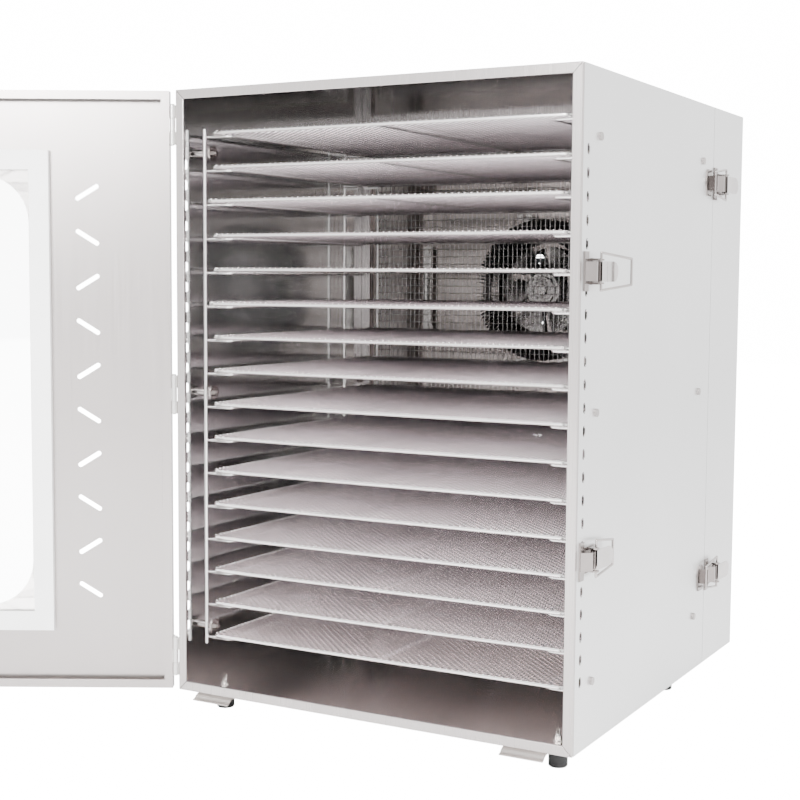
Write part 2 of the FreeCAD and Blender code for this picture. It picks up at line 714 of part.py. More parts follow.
def guard_screen():
    """Wire guard between trays and fans: round frame wire, mesh and the six fixing tabs."""
    half, z0, z1 = guard_limits()
    r = GUARD_WIRE_RADIUS
    y = GUARD_Y
    mesh = GUARD_MESH / 2
    solids = [
        rod(vec(-half, y, z0), vec(half, y, z0), r),
        rod(vec(-half, y, z1), vec(half, y, z1), r),
        rod(vec(-half, y, z0 - r), vec(-half, y, z1 + r), r),
        rod(vec(half, y, z0 - r), vec(half, y, z1 + r), r),
        box(-half, half, y - mesh, y + mesh, z0, z1),
    ]
    back = BODY_DEPTH - RIM_THICKNESS
    for x, z in guard_screw_places():
        side = 1 if x > 0 else -1
        x0, x1 = sorted((side * (half - r), side * (half + GUARD_TAB_REACH)))
        tab_half = GUARD_TAB_WIDTH / 2
        tab = box(x0, x1, y + mesh - EPS, back, z - tab_half, z + tab_half)
        hole = rod(vec(x, y - 5, z), vec(x, back + 5, z), GUARD_SCREW_RADIUS + EPS / 2)
        solids.append(tab.cut(hole))
    return Part.makeCompound(solids)


def guard_screws():
    """Screws through the guard's tabs into the rear rim."""
    screws = []
    face = GUARD_Y + GUARD_MESH / 2 - EPS
    for x, z in guard_screw_places():
        head = rod(vec(x, face - 2.2, z), vec(x, face, z), GUARD_HEAD_RADIUS)
        shank = rod(vec(x, face, z), vec(x, BODY_DEPTH - 2, z), GUARD_SCREW_RADIUS)
        screws.append(head.fuse(shank).removeSplitter())
    return screws


def fan(z):
    """Fan wheel: stepped hub, pitched blades and the shaft that runs in its motor."""
    back = FAN_FRONT_Y + FAN_HUB_DEPTH
    hub = rod(vec(0, FAN_FRONT_Y + 3, z), vec(0, back, z), FAN_HUB_RADIUS)
    nose = rod(vec(0, FAN_FRONT_Y, z), vec(0, FAN_FRONT_Y + 3.5, z), FAN_HUB_RADIUS * 0.62)
    shaft = rod(vec(0, back - 1, z), vec(0, SHAFT_BACK_Y, z), SHAFT_RADIUS)
    blades = []
    mid = FAN_FRONT_Y + 3 + (FAN_HUB_DEPTH - 3) / 2
    for i in range(FAN_BLADES):
        blade = box(FAN_HUB_RADIUS - 3, FAN_RADIUS, -FAN_BLADE_THICKNESS / 2, FAN_BLADE_THICKNESS / 2,
                    -FAN_BLADE_WIDTH / 2, FAN_BLADE_WIDTH / 2)
        blade.rotate(vec(0, 0, 0), vec(1, 0, 0), 90 - FAN_BLADE_PITCH)
        blade.rotate(vec(0, 0, 0), vec(0, 1, 0), 360 * i / FAN_BLADES)
        blades.append(moved(blade, 0, mid, z))
    return fuse([hub, nose, shaft] + blades)


def fan_motors():
    """Two round motors on the back of the bulkhead, bored for their shafts."""
    motors = []
    y0 = BULKHEAD_Y + SHEET
    for z in fan_heights():
        flange = rod(vec(0, y0, z), vec(0, y0 + MOTOR_FLANGE, z), MOTOR_FLANGE_RADIUS)
        can = rod(vec(0, y0, z), vec(0, y0 + MOTOR_DEPTH, z), MOTOR_RADIUS)
        bore = rod(vec(0, y0 - 1, z), vec(0, SHAFT_BACK_Y + 1, z), SHAFT_RADIUS + SHAFT_CLEARANCE)
        motors.append(flange.fuse(can).removeSplitter().cut(bore))
    return Part.makeCompound(motors)


def heater_rings():
    """Two finned heating elements bent into rings; a ring's section is the fins' outline."""
    size = (HEATER_RING_RADIUS, HEATER_FIN_RADIUS)
    return Part.makeCompound([Part.makeTorus(*size, vec(0, HEATER_Y, z), vec(0, 1, 0)) for z in fan_heights()])


def heater_clips():
    """Stand-off clips and their bolts that hold both rings to the bulkhead."""
    clips = []
    y0 = HEATER_Y + HEATER_FIN_RADIUS + EPS
    for z in fan_heights():
        for angle in HEATER_CLIP_ANGLES:
            reach = HEATER_RING_RADIUS + HEATER_FIN_RADIUS + HEATER_CLIP_WIDTH / 2 + 1
            a = math.radians(angle)
            x = reach * math.cos(a)
            h = z + reach * math.sin(a)
            stud = rod(vec(x, HEATER_Y - 8, h), vec(x, BULKHEAD_Y, h), 2.0)
            nut = rod(vec(x, HEATER_Y - 5, h), vec(x, HEATER_Y - 1, h), 4.0)
            foot = rod(vec(x, BULKHEAD_Y - 2, h), vec(x, BULKHEAD_Y, h), 5.0)
            inner = HEATER_RING_RADIUS
            strap = box(inner, reach, y0, y0 + HEATER_CLIP_THICKNESS,
                        -HEATER_CLIP_WIDTH / 2, HEATER_CLIP_WIDTH / 2)
            strap.rotate(vec(0, 0, 0), vec(0, 1, 0), -angle)
            clips.append(fuse([stud, nut, foot, moved(strap, 0, 0, z)]))
    return clips


def module_fixings():
    """Guard screws and heater clips as separate solids."""
    return Part.makeCompound(guard_screws() + heater_clips())


def probe_bracket():
    """Upright strip on two stand-offs beside the upper fan."""
    z = fan_heights()[1]
    y1 = BULKHEAD_Y - PROBE_STANDOFF
    y0 = y1 - PROBE_STRIP_THICKNESS
    half = PROBE_STRIP_WIDTH / 2
    strip = box(-PROBE_X - half, -PROBE_X + half, y0, y1, z - PROBE_LENGTH / 2, z + PROBE_LENGTH / 2)
    pieces = [strip]
    for h in (z - PROBE_LENGTH / 2 + 6, z + PROBE_LENGTH / 2 - 6):
        pieces.append(rod(vec(-PROBE_X, y1 - 0.5, h), vec(-PROBE_X, BULKHEAD_Y, h), 3.0))
        pieces.append(rod(vec(-PROBE_X, y0 - 2.2, h), vec(-PROBE_X, y0 + 0.5, h), 3.6))
    return fuse(pieces)


def temperature_probe():
    """Sensor tube on its strip."""
    z = fan_heights()[1]
    y = BULKHEAD_Y - PROBE_STANDOFF - PROBE_STRIP_THICKNESS - PROBE_RADIUS + EPS
    quarter = PROBE_LENGTH / 4
    tube = rod(vec(-PROBE_X, y, z - quarter), vec(-PROBE_X, y, z + quarter), PROBE_RADIUS)
    return fuse([probe_bracket(), tube])


# ---------------- controls and supply ----------------
def control_box():
    """Housing under the module's roof with the timer, thermostat and wiring."""
    y1 = DEPTH - SHEET - 1
    top = TOP_Z - SHEET - CONTROL_BOX_DROP
    half = CONTROL_BOX_WIDTH / 2
    body = box(-half, half, y1 - CONTROL_BOX_DEPTH, y1, top - CONTROL_BOX_HEIGHT, top)
    bores = [rod(vec(x, KNOB_Y, top - 6), vec(x, KNOB_Y, top + 1), STEM_RADIUS + STEM_CLEARANCE)
             for x in (-KNOB_X, KNOB_X)]
    return body.cut(bores)


def knob(x):
    """Pointer knob with skirt and grip, on a stem through the roof."""
    base = TOP_Z + KNOB_GAP
    skirt = rod(vec(x, KNOB_Y, base), vec(x, KNOB_Y, base + KNOB_SKIRT), KNOB_SKIRT_RADIUS)
    body = rod(vec(x, KNOB_Y, base), vec(x, KNOB_Y, base + KNOB_HEIGHT * 0.55), KNOB_RADIUS)
    half = KNOB_GRIP_WIDTH / 2
    bar = box(x - half, x + half, KNOB_Y - KNOB_RADIUS + 1, KNOB_Y + KNOB_RADIUS - 1,
              base, base + KNOB_HEIGHT)
    stem = rod(vec(x, KNOB_Y, base - STEM_LENGTH), vec(x, KNOB_Y, base + 1), STEM_RADIUS)
    return fuse([skirt, body, bar, stem])


def switch_bezel():
    """Rectangular bezel and open body of the rocker switch."""
    hx = SWITCH_LENGTH / 2
    hy = SWITCH_WIDTH / 2
    b = SWITCH_BEZEL
    rim = box(-hx - b, hx + b, KNOB_Y - hy - b, KNOB_Y + hy + b, TOP_Z, TOP_Z + 1.5)
    body = box(-hx + EPS, hx - EPS, KNOB_Y - hy + EPS, KNOB_Y + hy - EPS, TOP_Z - SWITCH_DEPTH, TOP_Z + 1)
    wall = SWITCH_WALL
    pocket = box(-hx + wall, hx - wall, KNOB_Y - hy + wall, KNOB_Y + hy - wall,
                 TOP_Z - SWITCH_DEPTH + wall, TOP_Z + 5)
    pivot = switch_pivot()
    reach = vec(0, hy + b, 0)
    bearing = rod(pivot - reach, pivot + reach, SWITCH_PIN_RADIUS + SWITCH_PIN_CLEARANCE)
    return rim.fuse(body).removeSplitter().cut([pocket, bearing])


def switch_rocker():
    """Rocker with a shallow V top, tipped onto its off side."""
    gap = SWITCH_CLEARANCE
    hx = SWITCH_LENGTH / 2 - SWITCH_WALL - gap
    hy = SWITCH_WIDTH / 2 - SWITCH_WALL - gap
    low = TOP_Z - 7.0
    top = TOP_Z + 1.5
    drop = SWITCH_RISE
    ends = hx * 0.88
    points = [
        vec(-ends + 2.5, KNOB_Y - hy, low), vec(ends - 2.5, KNOB_Y - hy, low),
        vec(ends, KNOB_Y - hy, top + drop), vec(0, KNOB_Y - hy, top), vec(-ends, KNOB_Y - hy, top + drop),
    ]
    pivot = switch_pivot()
    reach = vec(0, hy + gap + SWITCH_WALL / 2, 0)
    pin = rod(pivot - reach, pivot + reach, SWITCH_PIN_RADIUS)
    rocker = turned(prism(points, vec(0, 2 * hy, 0)), pivot, vec(0, 1, 0), -SWITCH_TILT)
    return fuse([rocker, pin])


def switch_pivot():
    """A point on the rocker's axis, which runs along Y."""
    return vec(0, KNOB_Y, TOP_Z - 2.0)


def power_inlet():
    """Recessed three-pin mains inlet in the back sheet."""
    x = INLET_X
    z = FLOOR_Z + INLET_Z
    back = DEPTH
    flange = box(x - INLET_FLANGE_WIDTH / 2, x + INLET_FLANGE_WIDTH / 2, back, back + INLET_FLANGE,
                 z - INLET_HEIGHT / 2 - 2, z + INLET_HEIGHT / 2 + 2)
    body = box(x - INLET_WIDTH / 2, x + INLET_WIDTH / 2, back - INLET_DEPTH, back + INLET_FLANGE / 2,
               z - INLET_HEIGHT / 2, z + INLET_HEIGHT / 2)
    mouth = back + INLET_FLANGE
    recess = box(x - INLET_RECESS_WIDTH / 2, x + INLET_RECESS_WIDTH / 2, mouth - INLET_RECESS_DEPTH,
                 mouth + 1, z - INLET_RECESS_HEIGHT / 2, z + INLET_RECESS_HEIGHT / 2)
    shell = flange.fuse(body).removeSplitter().cut(recess)
    pins = []
    floor_y = mouth - INLET_RECESS_DEPTH
    half_w = INLET_PIN_WIDTH / 2
    half_h = INLET_PIN_HEIGHT / 2
    for i, rise in ((-1, INLET_PIN_RISE - 2), (0, INLET_PIN_RISE + 1), (1, INLET_PIN_RISE - 2)):
        cx = x + i * INLET_PIN_SPREAD
        pins.append(box(cx - half_w, cx + half_w, floor_y - 1, floor_y + INLET_PIN_LENGTH,
                        z + rise - half_h, z + rise + half_h))
    return fuse([shell] + pins)


# ---------------- door ----------------
def door_limits():
    """Low X, high X, low Z and high Z of the closed door."""
    return -HALF, HALF, FLOOR_Z + DOOR_END_GAP, TOP_Z - DOOR_END_GAP


def rounded_slot(x, z, length, width, degrees, y0, y1):
    """A round-ended slot cut along a direction tilted by degrees from X."""
    flat = (length - width) / 2
    slot = box(-flat, flat, y0, y1, -width / 2, width / 2)
    ends = [rod(vec(s, y0, 0), vec(s, y1, 0), width / 2) for s in (-flat, flat)]
    whole = fuse([slot] + ends)
    whole.rotate(vec(0, 0, 0), vec(0, 1, 0), -degrees)
    return moved(whole, x, 0, z)


def window_cut(y0, y1):
    """Upright round-cornered window, as a block to cut with."""
    x = HALF - WINDOW_SIDE
    z0 = FLOOR_Z + WINDOW_END
    z1 = TOP_Z - WINDOW_END
    block = box(-x, x, y0, y1, z0, z1)
    edges = [e for e in block.Edges if abs(e.tangentAt(e.FirstParameter).y) > 0.99]
    return block.makeFillet(WINDOW_CORNER, edges)


def door_shell():
    """Folded door sheet: face, four edge flanges and a return lip, with slots and window."""
    x0, x1, z0, z1 = door_limits()
    s = DOOR_SHEET
    outer = box(x0, x1, DOOR_FRONT, DOOR_BACK, z0, z1)
    pocket = box(x0 + s, x1 - s, DOOR_FRONT + s, DOOR_BACK - s, z0 + s, z1 - s)
    lip = DOOR_LIP
    mouth = box(x0 + lip, x1 - lip, DOOR_BACK - 2 * s, DOOR_BACK + 1, z0 + lip, z1 - lip)
    cuts = [pocket, mouth, window_cut(DOOR_FRONT - 1, DOOR_FRONT + s + 1)]
    low = FLOOR_Z + DOOR_SLOT_END_MARGIN
    high = TOP_Z - DOOR_SLOT_END_MARGIN
    for i, z in enumerate(spread(high, low, DOOR_SLOT_COUNT)):
        tilt = DOOR_SLOT_TILT if i % 2 else -DOOR_SLOT_TILT
        for x, lean in ((-HALF + DOOR_SLOT_INSET, tilt), (HALF - DOOR_SLOT_INSET, -tilt)):
            cuts.append(rounded_slot(x, z, DOOR_SLOT_LENGTH, DOOR_SLOT_WIDTH, lean,
                                     DOOR_FRONT - 1, DOOR_FRONT + s + 1))
    return outer.cut(cuts)


def gasket_outline(grow):
    """Half width, low Z and high Z of the gasket's outer edge, grown by grow."""
    half = HALF - WINDOW_SIDE + GASKET_BEYOND_WINDOW_SIDE + grow
    z0 = FLOOR_Z + WINDOW_END - GASKET_BEYOND_WINDOW_END - grow
    z1 = TOP_Z - WINDOW_END + GASKET_BEYOND_WINDOW_END + grow
    return half, z0, z1


def door_glass():
    """Toughened pane behind the window."""
    half, z0, z1 = gasket_outline(-GASKET_LAP)
    y0 = DOOR_FRONT + DOOR_SHEET
    return box(-half, half, y0, y0 + GLASS_THICKNESS, z0, z1)


def door_gasket():
    """Square-cornered sealing frame that laps over the pane's edge."""
    half, z0, z1 = gasket_outline(0)
    y0 = DOOR_FRONT + DOOR_SHEET
    frame = box(-half, half, y0, y0 + GLASS_THICKNESS + GASKET_THICKNESS, z0, z1)
    inner = HALF - WINDOW_SIDE + GASKET_INNER_SIDE
    hole = box(-inner, inner, y0 - 1, y0 + 20, FLOOR_Z + WINDOW_END - GASKET_INNER_END,
               TOP_Z - WINDOW_END + GASKET_INNER_END)
    return frame.cut([door_glass(), hole])


# ---------------- door hinges ----------------
def hinge_heights():
    """Centre heights of the three hinges."""
    return spread(FLOOR_Z + HINGE_END_MARGIN, TOP_Z - HINGE_END_MARGIN, 3)


def knuckle_spans(z):
    """Low and high Z of the three knuckles of a hinge centred at z."""
    third = HINGE_HEIGHT / 3
    g = HINGE_KNUCKLE_GAP / 2
    base = z - HINGE_HEIGHT / 2
    return [(base + i * third + g, base + (i + 1) * third - g) for i in range(3)]


def hinge_leaf(z, facing, own):
    """One leaf and its knuckles; facing is 1 for the cabinet and -1 for the door."""
    low = z - HINGE_HEIGHT / 2
    high = z + HINGE_HEIGHT / 2
    x0 = -HALF - HINGE_LEAF
    near = HINGE_Y + facing * HINGE_RELIEF
    far = facing * HINGE_LEAF_WIDTH
    y0, y1 = sorted((near, far))
    pieces = [box(x0, -HALF, y0, y1, low, high)]
    for k in own:
        z0, z1 = knuckle_spans(z)[k]
        a, b = sorted((HINGE_Y, near))
        pieces.append(box(x0, -HALF, a, b, z0, z1))
        pieces.append(rod(vec(HINGE_X, HINGE_Y, z0), vec(HINGE_X, HINGE_Y, z1), HINGE_RADIUS))
    bore = rod(vec(HINGE_X, HINGE_Y, low - 1), vec(HINGE_X, HINGE_Y, high + 1),
               HINGE_PIN_RADIUS + HINGE_PIN_CLEARANCE)
    return fuse(pieces).cut(bore)


def hinge_leaves_cabinet():
    """Outer-knuckle leaves on the cabinet's left side."""
    return Part.makeCompound([hinge_leaf(z, 1, (0, 2)) for z in hinge_heights()])


def hinge_leaves_door():
    """Middle-knuckle leaves on the door's hinge flange."""
    return Part.makeCompound([hinge_leaf(z, -1, (1,)) for z in hinge_heights()])


def hinge_pins():
    """Headed pins through the knuckles."""
    pins = []
    for z in hinge_heights():
        low = z - HINGE_HEIGHT / 2 - 0.6
        high = z + HINGE_HEIGHT / 2 + 0.2
        pin = rod(vec(HINGE_X, HINGE_Y, low), vec(HINGE_X, HINGE_Y, high), HINGE_PIN_RADIUS)
        head = rod(vec(HINGE_X, HINGE_Y, high), vec(HINGE_X, HINGE_Y, high + 1), HINGE_PIN_HEAD)
        pins.append(pin.fuse(head).removeSplitter())
    return Part.makeCompound(pins)


# ---------------- draw latches, in local axes u, v, w ----------------
def place_latch(shape, y, z):
    """Put a local latch shape on the right side: u runs to the front, v outwards, w up."""
    matrix = FreeCAD.Matrix(0, 1, 0, HALF, -1, 0, 0, y, 0, 0, 1, z, 0, 0, 0, 1)
    copy = shape.copy()
    copy.Placement = FreeCAD.Placement(matrix).multiply(copy.Placement)
    return copy


def latch_base_local():
    """Riveted base: plate, two ears with the lever's pin, and the sloping hood in front."""
    p = LATCH_PLATE
    w = LATCH_HALF_WIDTH
    wing = LATCH_WING_HALF_WIDTH
    pieces = [
        box(-LATCH_BACK, LATCH_FRONT, 0, p, -w, w),
        box(LATCH_WING_BACK, LATCH_FRONT, 0, p, -wing, wing),
    ]
    r = LATCH_EAR_RADIUS
    for side in (-1, 1):
        w0, w1 = sorted((side * LATCH_EAR_INNER, side * LATCH_EAR_OUTER))
        pieces.append(box(-r, r, 0, LATCH_PIVOT_HEIGHT, w0, w1))
        pieces.append(rod(vec(0, LATCH_PIVOT_HEIGHT, w0), vec(0, LATCH_PIVOT_HEIGHT, w1), r))
    pieces.append(rod(vec(0, LATCH_PIVOT_HEIGHT, -LATCH_EAR_OUTER),
                      vec(0, LATCH_PIVOT_HEIGHT, LATCH_EAR_OUTER), LATCH_PIN_RADIUS))
    hood = [
        vec(LATCH_HOOD_FRONT, p / 2, -LATCH_HOOD_HALF_WIDTH),
        vec(LATCH_HOOD_BACK + 3, LATCH_HOOD_HEIGHT, -LATCH_HOOD_HALF_WIDTH),
        vec(LATCH_HOOD_BACK, LATCH_HOOD_HEIGHT, -LATCH_HOOD_HALF_WIDTH),
        vec(LATCH_HOOD_BACK, LATCH_HOOD_HEIGHT - p, -LATCH_HOOD_HALF_WIDTH),
        vec(LATCH_HOOD_BACK + 2.2, LATCH_HOOD_HEIGHT - p, -LATCH_HOOD_HALF_WIDTH),
        vec(LATCH_HOOD_FRONT - 2.4, p / 2, -LATCH_HOOD_HALF_WIDTH),
    ]
    pieces.append(prism(hood, vec(0, 0, 2 * LATCH_HOOD_HALF_WIDTH)))
    for side in (-1, 1):
        at = vec(-LATCH_BACK + 5.5, p, side * 5.5)
        pieces.append(rod(at, at + vec(0, 0.9, 0), 2.2))
    return fuse(pieces)


def latch_lever_local():
    """Channel lever with a round-ended tab, closed flat over its base."""
    w = LEVER_HALF_WIDTH
    t = LEVER_PLATE
    v0 = LEVER_TOP - t
    pieces = [box(-LEVER_BEND, LEVER_FRONT, v0, LEVER_TOP, -w, w)]
    tab = fuse([
        box(-LEVER_BEND - LEVER_TAB + w, -LEVER_BEND, v0, LEVER_TOP, -w, w),
        rod(vec(-LEVER_BEND - LEVER_TAB + w, v0, 0), vec(-LEVER_BEND - LEVER_TAB + w, LEVER_TOP, 0), w),
    ])
    pieces.append(turned(tab, vec(-LEVER_BEND, v0, 0), vec(0, 0, 1), -LEVER_TAB_LIFT))
    pieces.append(prism([
        vec(-LEVER_BEND, v0, -w), vec(-LEVER_BEND + 1, LEVER_TOP - EPS, -w), vec(-LEVER_BEND, LEVER_TOP, -w),
        vec(-LEVER_BEND + t * math.sin(math.radians(LEVER_TAB_LIFT)) - EPS,
            v0 + t * math.cos(math.radians(LEVER_TAB_LIFT)), -w),
    ], vec(0, 0, 2 * w)))
    for side in (-1, 1):
        w0, w1 = sorted((side * w, side * (w - t)))
        pieces.append(box(-LEVER_CHEEK_BACK, LEVER_FRONT, LEVER_CHEEK_BOTTOM, v0 + t / 2, w0, w1))
    lever = fuse(pieces)
    pivot = rod(vec(0, LATCH_PIVOT_HEIGHT, -w - 1), vec(0, LATCH_PIVOT_HEIGHT, w + 1),
                LATCH_PIN_RADIUS + LATCH_PIN_CLEARANCE)
    bail = rod(vec(-BAIL_BEHIND_PIVOT, BAIL_HEIGHT, -w - 1), vec(-BAIL_BEHIND_PIVOT, BAIL_HEIGHT, w + 1),
               BAIL_RADIUS + LATCH_PIN_CLEARANCE)
    return lever.cut([pivot, bail])


def bail_pivot():
    """Local place of the bail's pivot."""
    return vec(-BAIL_BEHIND_PIVOT, BAIL_HEIGHT, 0)


def latch_bail_local():
    """Trapezoid of wire, ends turned into the lever, pointing along the pull."""
    u0 = -BAIL_BEHIND_PIVOT
    tip = u0 + BAIL_LENGTH
    v = BAIL_HEIGHT
    pieces = []
    for side in (-1, 1):
        inner = vec(u0, v, side * BAIL_INNER)
        shoulder = vec(u0, v, side * BAIL_SHOULDER)
        corner = vec(tip, v, side * BAIL_TIP)
        pieces.append(rod(inner, shoulder, BAIL_RADIUS))
        pieces.append(rod(shoulder, corner, BAIL_RADIUS))
        pieces.append(Part.makeSphere(BAIL_RADIUS, shoulder))
        pieces.append(Part.makeSphere(BAIL_RADIUS, corner))
    pieces.append(rod(vec(tip, v, -BAIL_TIP), vec(tip, v, BAIL_TIP), BAIL_RADIUS))
    return fuse(pieces)


def keeper_local(front_reach):
    """Catch plate with an upright lip that the bail pulls on; u = 0 at the bail's tip."""
    lip1 = -BAIL_RADIUS - KEEPER_CLEARANCE
    lip0 = lip1 - KEEPER_PLATE
    w = KEEPER_HALF_WIDTH
    centre = front_reach - KEEPER_EDGE_RADIUS
    plate = box(lip0, front_reach, 0, KEEPER_PLATE, -w, w)
    disc = rod(vec(centre, 0, 0), vec(centre, KEEPER_PLATE, 0), KEEPER_EDGE_RADIUS)
    lip = box(lip0, lip1, 0, KEEPER_PLATE + KEEPER_LIP_RISE, -KEEPER_LIP_HALF_WIDTH, KEEPER_LIP_HALF_WIDTH)
    return fuse([plate.common(disc), lip])


def front_latch_heights():
    """Heights of the door latches, lower first."""
    middle = MID_Z - FRONT_LATCH_DROP
    return [middle - FRONT_LATCH_SPACING / 2, middle + FRONT_LATCH_SPACING / 2]


def rear_latch_heights():
    """Heights of the rear module's latches, lower first."""
    middle = MID_Z + REAR_LATCH_RISE
    return [middle - REAR_LATCH_SPACING / 2, middle + REAR_LATCH_SPACING / 2]


def left_twin(shape):
    """The mirror image of a right-hand piece on the left side."""
    return shape.mirror(vec(0, 0, 0), vec(1, 0, 0))


def bail_tip_y(latch_y):
    """Y of a hooked bail's tip."""
    return latch_y + BAIL_BEHIND_PIVOT - BAIL_LENGTH


def open_door(shape):
    """Swing a closed-door shape to its rest pose."""
    return turned(shape, vec(HINGE_X, HINGE_Y, 0), vec(0, 0, 1), -DOOR_OPEN)


def build():
    """Every node by name, in the cabinet frame."""
    nodes = {
        "side_panel_left": side_panel(-1),
        "side_panel_right": side_panel(1),
        "top_panel": top_panel(),
        "floor_panel": floor_panel(),
        "front_frame": front_frame(),
        "rear_rim": rear_rim(),
        "rack_left": rack(-1),
        "rack_right": rack(1),
        "rack_screws": rack_screws(),
        "rubber_feet": rubber_feet(),
        "foot_bolts": foot_bolts(),
        "door_rest_lips": door_rest_lips(),
        "module_wrap": module_wrap(),
        "module_cover": module_cover(),
        "bulkhead": bulkhead(),
        "guard_screen": guard_screen(),
        "fan_motors": fan_motors(),
        "heater_rings": heater_rings(),
        "module_fixings": module_fixings(),
        "temperature_probe": temperature_probe(),
        "control_box": control_box(),
        "timer_knob": knob(-KNOB_X),
        "thermostat_knob": knob(KNOB_X),
        "switch_bezel": switch_bezel(),
        "switch_rocker": switch_rocker(),
        "power_inlet": power_inlet(),
        "hinge_leaves_cabinet": hinge_leaves_cabinet(),
        "hinge_pins": hinge_pins(),
        "door_shell": open_door(door_shell()),
        "door_glass": open_door(door_glass()),
        "door_gasket": open_door(door_gasket()),
        "hinge_leaves_door": open_door(hinge_leaves_door()),
    }
    for name, z in zip(("lower", "upper"), fan_heights()):
        nodes["fan_" + name] = fan(z)
    blank = tray_blank()
    for i, z in enumerate(levels()):
        number = i + 1
        nodes["tray_%02d" % number] = moved(blank, 0, -TRAY_FORWARD.get(number, 0.0), z)
    fixed = [place_latch(latch_base_local(), FRONT_LATCH_Y, z) for z in front_latch_heights()]
    rear_fixed = [place_latch(latch_base_local(), REAR_LATCH_Y, z) for z in rear_latch_heights()]
    rear_fixed += [
        place_latch(keeper_local(REAR_KEEPER_FRONT), bail_tip_y(REAR_LATCH_Y), z) for z in rear_latch_heights()
    ]
    nodes["latch_bases"] = Part.makeCompound(fixed + rear_fixed + [left_twin(piece) for piece in rear_fixed])
    lever = latch_lever_local()
    bail = latch_bail_local()
    rest_angles = (BAIL_REST_LOWER, BAIL_REST_UPPER)
    for name, z, angle in zip(("lower", "upper"), front_latch_heights(), rest_angles):
        nodes["front_lever_" + name] = place_latch(lever, FRONT_LATCH_Y, z)
        flipped = turned(bail, bail_pivot(), vec(0, 0, 1), angle)
        nodes["front_bail_" + name] = place_latch(flipped, FRONT_LATCH_Y, z)
    for name, shape in (("levers", lever), ("bails", bail)):
        pair = [place_latch(shape, REAR_LATCH_Y, z) for z in rear_latch_heights()]
        nodes["rear_" + name + "_right"] = Part.makeCompound(pair)
        nodes["rear_" + name + "_left"] = Part.makeCompound([left_twin(piece) for piece in pair])
    reach = bail_tip_y(FRONT_LATCH_Y) - DOOR_FRONT - 1
    door_keeper = keeper_local(reach)
    nodes["door_keepers"] = open_door(Part.makeCompound(
        [place_latch(door_keeper, bail_tip_y(FRONT_LATCH_Y), z) for z in front_latch_heights()]
    ))
    return nodes


def origin_shift(nodes):
    """How far to move everything so that the middle of the covered ground is the origin."""
    bounds = Part.makeCompound(list(nodes.values())).BoundBox
    return vec(-(bounds.XMin + bounds.XMax) / 2, -(bounds.YMin + bounds.YMax) / 2, 0)


NODES = build()
ORIGIN_SHIFT = origin_shift(NODES)

os.makedirs("parts", exist_ok=True)
for node_name, node_shape in NODES.items():
    placed = moved(node_shape, ORIGIN_SHIFT.x, ORIGIN_SHIFT.y, 0)
    placed.exportStep("parts/" + node_name + ".step")
print("nodes:", len(NODES), "origin shift:", ORIGIN_SHIFT)
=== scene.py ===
import logging
import math
from dataclasses import dataclass
from enum import Enum
from typing import Iterable, Sequence

import bmesh
import bpy
import numpy as np
from mathutils import Matrix, Vector


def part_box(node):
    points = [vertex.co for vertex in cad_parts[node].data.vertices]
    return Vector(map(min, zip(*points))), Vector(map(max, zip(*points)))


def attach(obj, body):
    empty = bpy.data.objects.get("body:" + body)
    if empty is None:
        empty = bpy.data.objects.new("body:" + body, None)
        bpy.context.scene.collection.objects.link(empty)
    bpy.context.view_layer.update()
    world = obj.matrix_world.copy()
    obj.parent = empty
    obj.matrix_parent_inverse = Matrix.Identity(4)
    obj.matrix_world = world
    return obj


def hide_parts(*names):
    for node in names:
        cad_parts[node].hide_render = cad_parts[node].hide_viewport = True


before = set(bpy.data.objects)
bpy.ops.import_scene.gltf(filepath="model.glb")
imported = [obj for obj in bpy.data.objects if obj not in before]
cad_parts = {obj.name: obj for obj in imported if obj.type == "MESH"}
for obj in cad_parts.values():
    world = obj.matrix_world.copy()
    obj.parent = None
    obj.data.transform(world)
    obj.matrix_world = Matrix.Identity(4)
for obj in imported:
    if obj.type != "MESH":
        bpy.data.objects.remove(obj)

# Looks of a cabinet food dehydrator: sheet-steel casing, woven wire trays on welded racks,
# a glazed door, draw latches and a rear module with fans, finned heaters and a wire guard.

LOG = logging.getLogger("dehydrator")
MERGE_DISTANCE = 1e-6
SMOOTH_ANGLE = math.radians(35)
BUMP_STRENGTH = 0.35
BEVEL_SEGMENTS = 2
X_AXIS = np.array((1.0, 0.0, 0.0))
Y_AXIS = np.array((0.0, 1.0, 0.0))
Z_AXIS = np.array((0.0, 0.0, 1.0))


# ---------------------------------------------------------------- surfaces
@dataclass(frozen=True)
class Surface:
    """Points and faces of a mesh that isn't in the scene yet."""

    points: np.ndarray
    faces: list

    def joined(self, *others: "Surface") -> "Surface":
        """Put several surfaces into one.

        Args:
            others: the surfaces that follow this one.

        Returns:
            One surface with every point and face.
        """
        points, faces, offset = [self.points], list(self.faces), len(self.points)
        for other in others:
            points.append(other.points)
            faces.extend([tuple(int(i) + offset for i in face) for face in other.faces])
            offset += len(other.points)
        return Surface(np.vstack(points), faces)


def grid_faces(rows: int, columns: int, wrap_rows: bool, wrap_columns: bool) -> np.ndarray:
    """Quads of a grid of points, where point (i, j) has index i * columns + j.

    Args:
        rows: points along the first parameter.
        columns: points along the second parameter.
        wrap_rows: whether the last row meets the first.
        wrap_columns: whether the last column meets the first.

    Returns:
        An array of four indices per face.
    """
    i = np.arange(rows if wrap_rows else rows - 1)[:, None]
    j = np.arange(columns if wrap_columns else columns - 1)[None, :]
    i_next, j_next = (i + 1) % rows, (j + 1) % columns
    row, next_row = i * columns, i_next * columns
    around = [row + j, next_row + j, next_row + j_next, row + j_next]
    return np.stack([np.broadcast_to(c, (i.size, j.size)).ravel() for c in around], axis=1)


